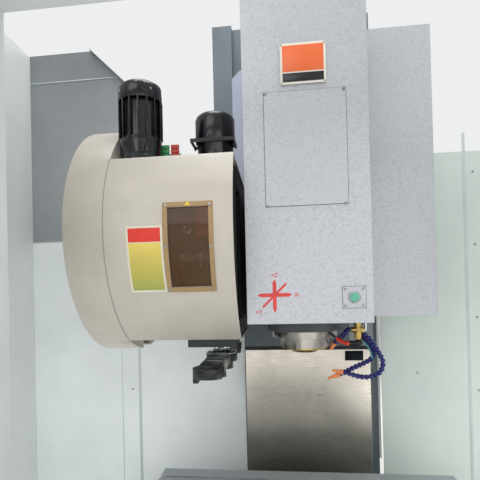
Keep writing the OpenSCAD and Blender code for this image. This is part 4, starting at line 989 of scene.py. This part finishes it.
class MC_OT_magazine(bpy.types.Operator):
    """Round tool magazine with its window, star disc and tool pots"""

    bl_idname = "machining_center.magazine"
    bl_label = "Tool magazine"

    def execute(self, context):
        dress("greige_enamel", "magazine_cover", edge_mm=1.2)
        dress("bronze_abs", "window_frame", edge_mm=1)
        dress("amber_acrylic", "window_pane")
        dress("machined_disc_steel", "magazine_disc", edge_mm=0.6)
        dress("nylon_natural", "tool_pots", "station_pot", edge_mm=0.6)
        frame_radius = DRUM_R + 3.2 * MM
        spots = [(-405, 351), (-279, 349), (-407, 235), (-279, 232), (-406, 117), (-280, 115)]
        rises = [(x * MM, math.asin((COVER_BOTTOM + z * MM - DRUM_Z) / DRUM_R)) for x, z in spots]
        places = [on_drum(x, math.degrees(rise), frame_radius) for x, rise in rises]
        screws("window_screws", 4.2, places)
        self.inner_fittings()
        arrow = turned([(9.5 * MM, 0), (9.5 * MM, 0.8 * MM)], 3)
        done(copies(arrow, [on_drum(-0.342, 8.3, frame_radius)]), "up_arrow", "yellow_vinyl_plain")
        seam = arc_plate(-0.5925, -0.5905, -62, 33, DRUM_R - 0.2 * MM, 1.4 * MM)
        done(seam, "magazine_seam", "seam_mastic", angle=20)
        return {"FINISHED"}

    def inner_fittings(self):
        """Cam box cover with its bolts, switch box and oil glass, seen dimly through the window"""
        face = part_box("arm_gearbox")[0][1]
        lid_face = face - 0.012
        lid = joined([block((-0.41, lid_face, 1.60), (-0.27, face, 1.78), 2 * MM),
                      block((-0.40, face - 0.03, 1.63), (-0.29, face - 0.01, 1.70), 4 * MM)])
        done(lid, "cam_box_cover", "olive_casting")
        bolts = [((x, lid_face, z), FRONT) for x in (-0.402, -0.34, -0.278) for z in (1.608, 1.74, 1.772)]
        done(copies(hexagon_bolt(9 * MM), bolts), "cam_box_bolts", "nickel_plate")
        switch = block((-0.345, face - 0.06, 1.83), (-0.275, face, 1.94), 5 * MM)
        done(switch, "switch_box", "red_oxide_paint")
        glass = turned([(15 * MM, 0), (15 * MM, 3 * MM), (12 * MM, 4 * MM), (11 * MM, 3 * MM)], 28)
        done(copies(glass, [((-0.385, face, 1.86), FRONT)]), "oil_glass", "chrome_plate")


class MC_OT_magazine_motors(bpy.types.Operator):
    """Magazine motor with its fan cowl, arm motor with its brake lever, and the terminals between them"""

    bl_idname = "machining_center.magazine_motors"
    bl_label = "Magazine motors"

    def execute(self, context):
        dress("gloss_black_enamel", "magazine_motor", "fan_cowl", "arm_motor", edge_mm=0.8)
        dress("black_abs", "motor_fan", edge_mm=0.4)
        dress("oxide_steel", "brake_lever")
        dress("dark_cast_iron", "arm_gearbox", edge_mm=1)
        motor_x, motor_y, cowl_radius, cowl_z = -0.518, -0.59, 0.0705, 2.285
        cowl = []
        for k in range(4):
            x, y = round_a_shaft(0, 0, 1, 45 + 90 * k)
            cowl.append(((motor_x + cowl_radius * x, motor_y + cowl_radius * y, cowl_z), (x, y, 0)))
        screws("cowl_screws", 3.6, cowl)
        self.terminals()
        return {"FINISHED"}

    def terminals(self):
        """Angle bracket on the drum's flat top, with three green and three red terminal blocks before it"""
        left, right, face, back = -0.462, -0.396, -0.556, -0.526
        stand = joined([block((left, face, DRUM_TOP), (right, back, DRUM_TOP + 3 * MM), 0.5 * MM),
                        block((left, face, DRUM_TOP), (right, face + 3 * MM, DRUM_TOP + 44 * MM), 0.5 * MM)])
        done(stand, "terminal_bracket", "nickel_plate")
        half, depth, height, pitch, lowest = 13 * MM, 10 * MM, 12 * MM, 14 * MM, DRUM_TOP + 30 * MM
        for name, x in (("green", -0.446), ("red", -0.414)):
            feet = [lowest + pitch * k for k in range(3)]
            rows = [block((x - half, face - depth, z), (x + half, face, z + height), 1 * MM) for z in feet]
            done(joined(rows), name + "_terminals", name + "_polyamide")


class MC_OT_tool_arm(bpy.types.Operator):
    """Swing arm of the tool changer on its shaft, with its collar, cover plates and screws"""

    bl_idname = "machining_center.tool_arm"
    bl_label = "Tool arm"

    def execute(self, context):
        dress("ground_steel", "arm_shaft", edge_mm=0.4)
        dress("oxide_cast_steel", "swing_arm", edge_mm=1.2)
        low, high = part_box("swing_arm")
        x, y, top = (low[0] + high[0]) / 2, (low[1] + high[1]) / 2, high[2]
        collar = turned([(0.056, 0), (0.056, 3 * MM), (0.0545, 4 * MM), (0.0365, 4 * MM), (0.036, 0)], 48)
        done(copies(collar, [((x, y, top), UP)]), "arm_collar", "ground_steel", "arm")
        half_x, half_y, plate_top = 0.026, 0.036, top + 3 * MM
        plates, places = [], []
        for side in (-1, 1):
            middle = y + side * 0.152
            plates.append(block((x - half_x, middle - half_y, top), (x + half_x, middle + half_y, plate_top),
                                0.6 * MM))
            places += [((x + dx, middle + dy, plate_top), UP)
                       for dx in (-0.019, 0.019) for dy in (-0.028, 0.028)]
        done(joined(plates), "arm_cover_plates", "ground_plate", "arm")
        places += [((*round_a_shaft(x, y, 0.046, 60 * k), top + 4 * MM), UP) for k in range(6)]
        screws("arm_screws", 4, places, "arm", "black_oxide_screws")
        return {"FINISHED"}


class MC_OT_way_covers(bpy.types.Operator):
    """Telescopic way covers, the apron above them and its wiper"""

    bl_idname = "machining_center.way_covers"
    bl_label = "Way covers"

    def execute(self, context):
        dress("rolled_stainless", "way_cover_upper", "way_cover_middle", "way_cover_lower",
              "way_cover_fixed", "y_way_covers", edge_mm=0.8)
        dress("apron_enamel", "apron", edge_mm=0.8)
        first_x, pitch = -0.232, 0.115
        rivets = [((first_x + k * pitch, 0.174, 1.368), FRONT) for k in range(6)]
        screws("wiper_rivets", 3.2, rivets, "head", socket=False)
        lip = block((-0.2555, 0.1715, 1.3595), (0.3455, 0.1740, 1.3765), 0.6 * MM)
        done(lip, "wiper_lip", "nitrile_rubber", "head")
        return {"FINISHED"}


class MC_OT_jointed_hoses(bpy.types.Operator):
    """Coolant hoses of snap-together links, with their nozzles"""

    bl_idname = "machining_center.jointed_hoses"
    bl_label = "Jointed hoses"

    # Each hose from the valve to its last link, in millimetres, and the tip of its nozzle
    runs = (
        (((184.7, -450, 1497.5), (191, -450, 1497), (204, -454, 1486), (218, -460, 1465), (232, -460, 1440),
          (243, -461, 1414), (241, -462, 1390), (226, -463, 1371), (196, -463, 1361), (163, -462, 1363),
          (138, -461, 1371), (114, -460, 1376)), (80, -459, 1382)),
        (((172, -437.2, 1500), (172, -431, 1500), (181, -424, 1495), (197, -427, 1478), (212, -434, 1458),
          (222, -437, 1437), (212, -440, 1418), (188, -442, 1403), (158, -444, 1390), (128, -446, 1376),
          (104, -448, 1366)), (66, -450, 1352)),
        (((145.3, -450, 1516), (139, -450, 1516), (132, -440, 1508), (130, -412, 1496), (123, -380, 1483),
          (113, -362, 1470), (104, -354, 1458)), (90, -350, 1434)),
    )

    def execute(self, context):
        step = context.scene.machining_center_sizes.link
        places, tips = [], []
        for points, tip in self.runs:
            path = [Vector(p) * MM for p in points]
            places += smooth_path(path, step)[:-1]
            run = Vector(tip) * MM - path[-1]
            tips.append((path[-1], run.normalized(), run.length))
        r = 8.6 * MM
        link = turned([(r * 0.62, 0), (r * 0.66, step * 0.1), (r, step * 0.26), (r * 1.02, step * 0.6),
                       (r * 0.86, step * 0.86), (r * 0.6, step * 0.98), (r * 0.55, step * 1.04)], 16)
        hoses = done(copies(link, places), "hose_links", "navy_polyacetal", "head", 50)
        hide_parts("coolant_hoses")
        nozzles = []
        for place, run, length in tips:
            cone = turned([(r * 0.7, -2 * MM), (r * 1.05, 0), (r * 1.05, 6 * MM), (r * 0.8, 7 * MM),
                           (r * 0.78, 11 * MM), (r * 0.42, length), (r * 0.3, length),
                           (r * 0.28, length - 5 * MM)], 16)
            nozzles.append(copies(cone, [(place, run)]))
        done(joined(nozzles), "hose_nozzles", "orange_polyacetal", "head", angle=40)
        return {"FINISHED"}


class MC_OT_coolant_valve(bpy.types.Operator):
    """Brass coolant valve with its elbow, its lever and the small air tubes"""

    bl_idname = "machining_center.coolant_valve"
    bl_label = "Coolant valve"

    def execute(self, context):
        dress("turned_brass", "coolant_valve", edge_mm=0.4)
        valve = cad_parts["coolant_valve"].data
        valve.materials.append(finish("black_nylon_elbow"))
        elbow_top = 1.4865
        for face in valve.polygons:
            face.material_index = 1 if face.center.z < elbow_top else 0
        dress("chrome_plate", "valve_lever", edge_mm=0.5)
        dress("polyurethane_tube", "air_hoses")
        return {"FINISHED"}


class MC_OT_control_panel(bpy.types.Operator):
    """Operator's panel on its arm, with screen, keys, handwheel and stop button"""

    bl_idname = "machining_center.control_panel"
    bl_label = "Control panel"

    def execute(self, context):
        dress("panel_grey_coat", "control_box", edge_mm=1.5)
        dress("black_abs", "handwheel", edge_mm=0.8)
        dress("red_abs", "stop_button", edge_mm=1.5)
        face = CONTROL_FRONT
        screen = block((0.905, face + 0.0045, 1.465), (1.155, face + 0.0085, 1.675), 0.8 * MM)
        done(screen, "screen", "screen_glass", "pendant")
        lefts = [0.905 + k * 0.0275 for k in range(9)]
        keys = [block((x, face - 0.003, 1.425), (x + 0.021, face + 0.001, 1.443), 1 * MM) for x in lefts]
        done(joined(keys), "soft_keys", "key_caps", "pendant")
        lefts = [0.903 + k * 0.034 for k in range(8)]
        caps = [block((x, face - 0.002, 1.383), (x + 0.018, face + 0.0028, 1.401), 1.2 * MM) for x in lefts]
        done(joined(caps), "panel_keys", "blue_key_caps", "pendant")
        knob = turned([(17 * MM, 0), (17 * MM, 4 * MM), (13 * MM, 5 * MM), (12 * MM, 20 * MM),
                       (10 * MM, 22 * MM)], 28)
        knobs = copies(knob, [((x, face, 1.27), FRONT) for x in (1.0, 1.07)])
        done(knobs, "override_knobs", "black_abs", "pendant")
        return {"FINISHED"}


class MC_OT_stage(bpy.types.Operator):
    """Floor, lamps, world and camera"""

    bl_idname = "machining_center.stage"
    bl_label = "Stage"

    # Name, place, point that it is turned to, width in metres and power in watts
    lamps = (
        ("key", (-1.8, -4.6, 4.0), (0, -0.2, 1.6), 3.0, 54),
        ("fill", (2.4, -4.2, 2.2), (0.2, -0.1, 1.5), 3.0, 30),
        ("low", (-0.2, -3.4, 1.3), (0, 0.2, 1.2), 1.8, 8),
        ("top", (0.0, -0.5, 5.2), (0, -0.1, 1.0), 2.4, 80),
        ("rear", (0.5, 5.0, 3.6), (0, 0.8, 1.4), 3.0, 110),
        ("left_bay", (-0.95, -0.8, 0.72), (-1.05, 0.25, 1.45), 0.8, 4.4),
        ("right_bay", (0.95, -0.75, 0.72), (0.9, 0.25, 1.6), 0.8, 6),
    )

    def execute(self, context):
        scene = context.scene
        only(None)
        bpy.ops.mesh.primitive_plane_add(size=60, location=(0, 10, 0))
        floor = bpy.context.object
        floor.name = "floor"
        place_whole(floor)
        floor.data.materials.append(finish("pale_concrete"))
        self.world(scene)
        for name, place, aim, size, power in self.lamps:
            bpy.ops.object.light_add(type="AREA", location=place)
            lamp = bpy.context.object
            lamp.name = name + "_lamp"
            lamp.data.size = size
            lamp.data.energy = power
            lamp.visible_camera = False
            lamp.rotation_euler = (Vector(aim) - Vector(place)).to_track_quat("-Z", "Y").to_euler()
        self.camera(scene)
        scene.view_settings.view_transform = "Standard"
        return {"FINISHED"}

    def world(self, scene):
        """A pale even sky, seen white behind the object and through its windows"""
        lighting, seen_as = 0.72, 0.95
        world = bpy.data.worlds.new("studio")
        world.use_nodes = True
        tree = world.node_tree
        tree.nodes.clear()
        path = add_node(tree, "ShaderNodeLightPath")
        seen = add_node(tree, "ShaderNodeMath", {0: path.outputs["Is Camera Ray"],
                                                 1: path.outputs["Is Transmission Ray"]},
                        operation="MAXIMUM")
        strength = add_node(tree, "ShaderNodeMapRange", {"Value": seen.outputs[0], "To Min": lighting,
                                                         "To Max": seen_as}).outputs["Result"]
        sky = add_node(tree, "ShaderNodeBackground", {"Color": linear("#f3f4f5"), "Strength": strength})
        add_node(tree, "ShaderNodeOutputWorld", {"Surface": sky.outputs["Background"]})
        scene.world = world

    def camera(self, scene):
        """The photograph's place, direction and angle of view"""
        yaw, pitch, roll = (math.radians(a) for a in (6.597, 0.609, -1.33))
        ahead = Vector((-math.sin(yaw) * math.cos(pitch), math.cos(yaw) * math.cos(pitch), math.sin(pitch)))
        right = Vector((math.cos(yaw), math.sin(yaw), 0))
        up = right.cross(ahead)
        level = right * math.cos(roll) + up * math.sin(roll)
        upright = up * math.cos(roll) - right * math.sin(roll)
        bpy.ops.object.camera_add(location=(-0.10299, -1.90068, 1.65968))
        camera = bpy.context.object
        camera.rotation_euler = Matrix((level, upright, -ahead)).transposed().to_euler()
        camera.data.sensor_fit = "HORIZONTAL"
        camera.data.sensor_width = 36
        camera.data.lens = 31.64
        camera.data.shift_x = 0.0293
        camera.data.shift_y = 0.0938
        camera.data.clip_start = 0.02
        scene.camera = camera


class MC_PT_machining_center(bpy.types.Panel):
    """Lists the colours, sizes and pieces of the machining center"""

    bl_idname = "MC_PT_machining_center"
    bl_label = "Machining Center"
    bl_space_type = "VIEW_3D"
    bl_region_type = "UI"
    bl_category = "Machining Center"

    def draw(self, context):
        layout = self.layout
        for group in (context.scene.machining_center_colours, context.scene.machining_center_sizes):
            column = layout.column()
            for name in group.__annotations__:
                column.prop(group, name)
        column = layout.column()
        for operator in PIECES:
            column.operator(operator.bl_idname)


PIECES = (MC_OT_castings, MC_OT_axis_motors, MC_OT_enclosure, MC_OT_doors, MC_OT_cabinet, MC_OT_head_covers,
          MC_OT_axis_marks, MC_OT_blank_plates, MC_OT_spindle, MC_OT_magazine, MC_OT_magazine_motors,
          MC_OT_tool_arm, MC_OT_way_covers, MC_OT_jointed_hoses, MC_OT_coolant_valve, MC_OT_control_panel,
          MC_OT_stage)
CLASSES = (MachiningCenterColours, MachiningCenterSizes, *PIECES, MC_PT_machining_center)


def register():
    for cls in CLASSES:
        bpy.utils.register_class(cls)
    bpy.types.Scene.machining_center_colours = bpy.props.PointerProperty(type=MachiningCenterColours)
    bpy.types.Scene.machining_center_sizes = bpy.props.PointerProperty(type=MachiningCenterSizes)


def unregister():
    del bpy.types.Scene.machining_center_sizes
    del bpy.types.Scene.machining_center_colours
    for cls in reversed(CLASSES):
        bpy.utils.unregister_class(cls)


def main():
    """Builds every piece in order"""
    register()
    for piece in PIECES:
        group, name = piece.bl_idname.split(".")
        getattr(getattr(bpy.ops, group), name)()


if __name__ == "__main__":
    main()
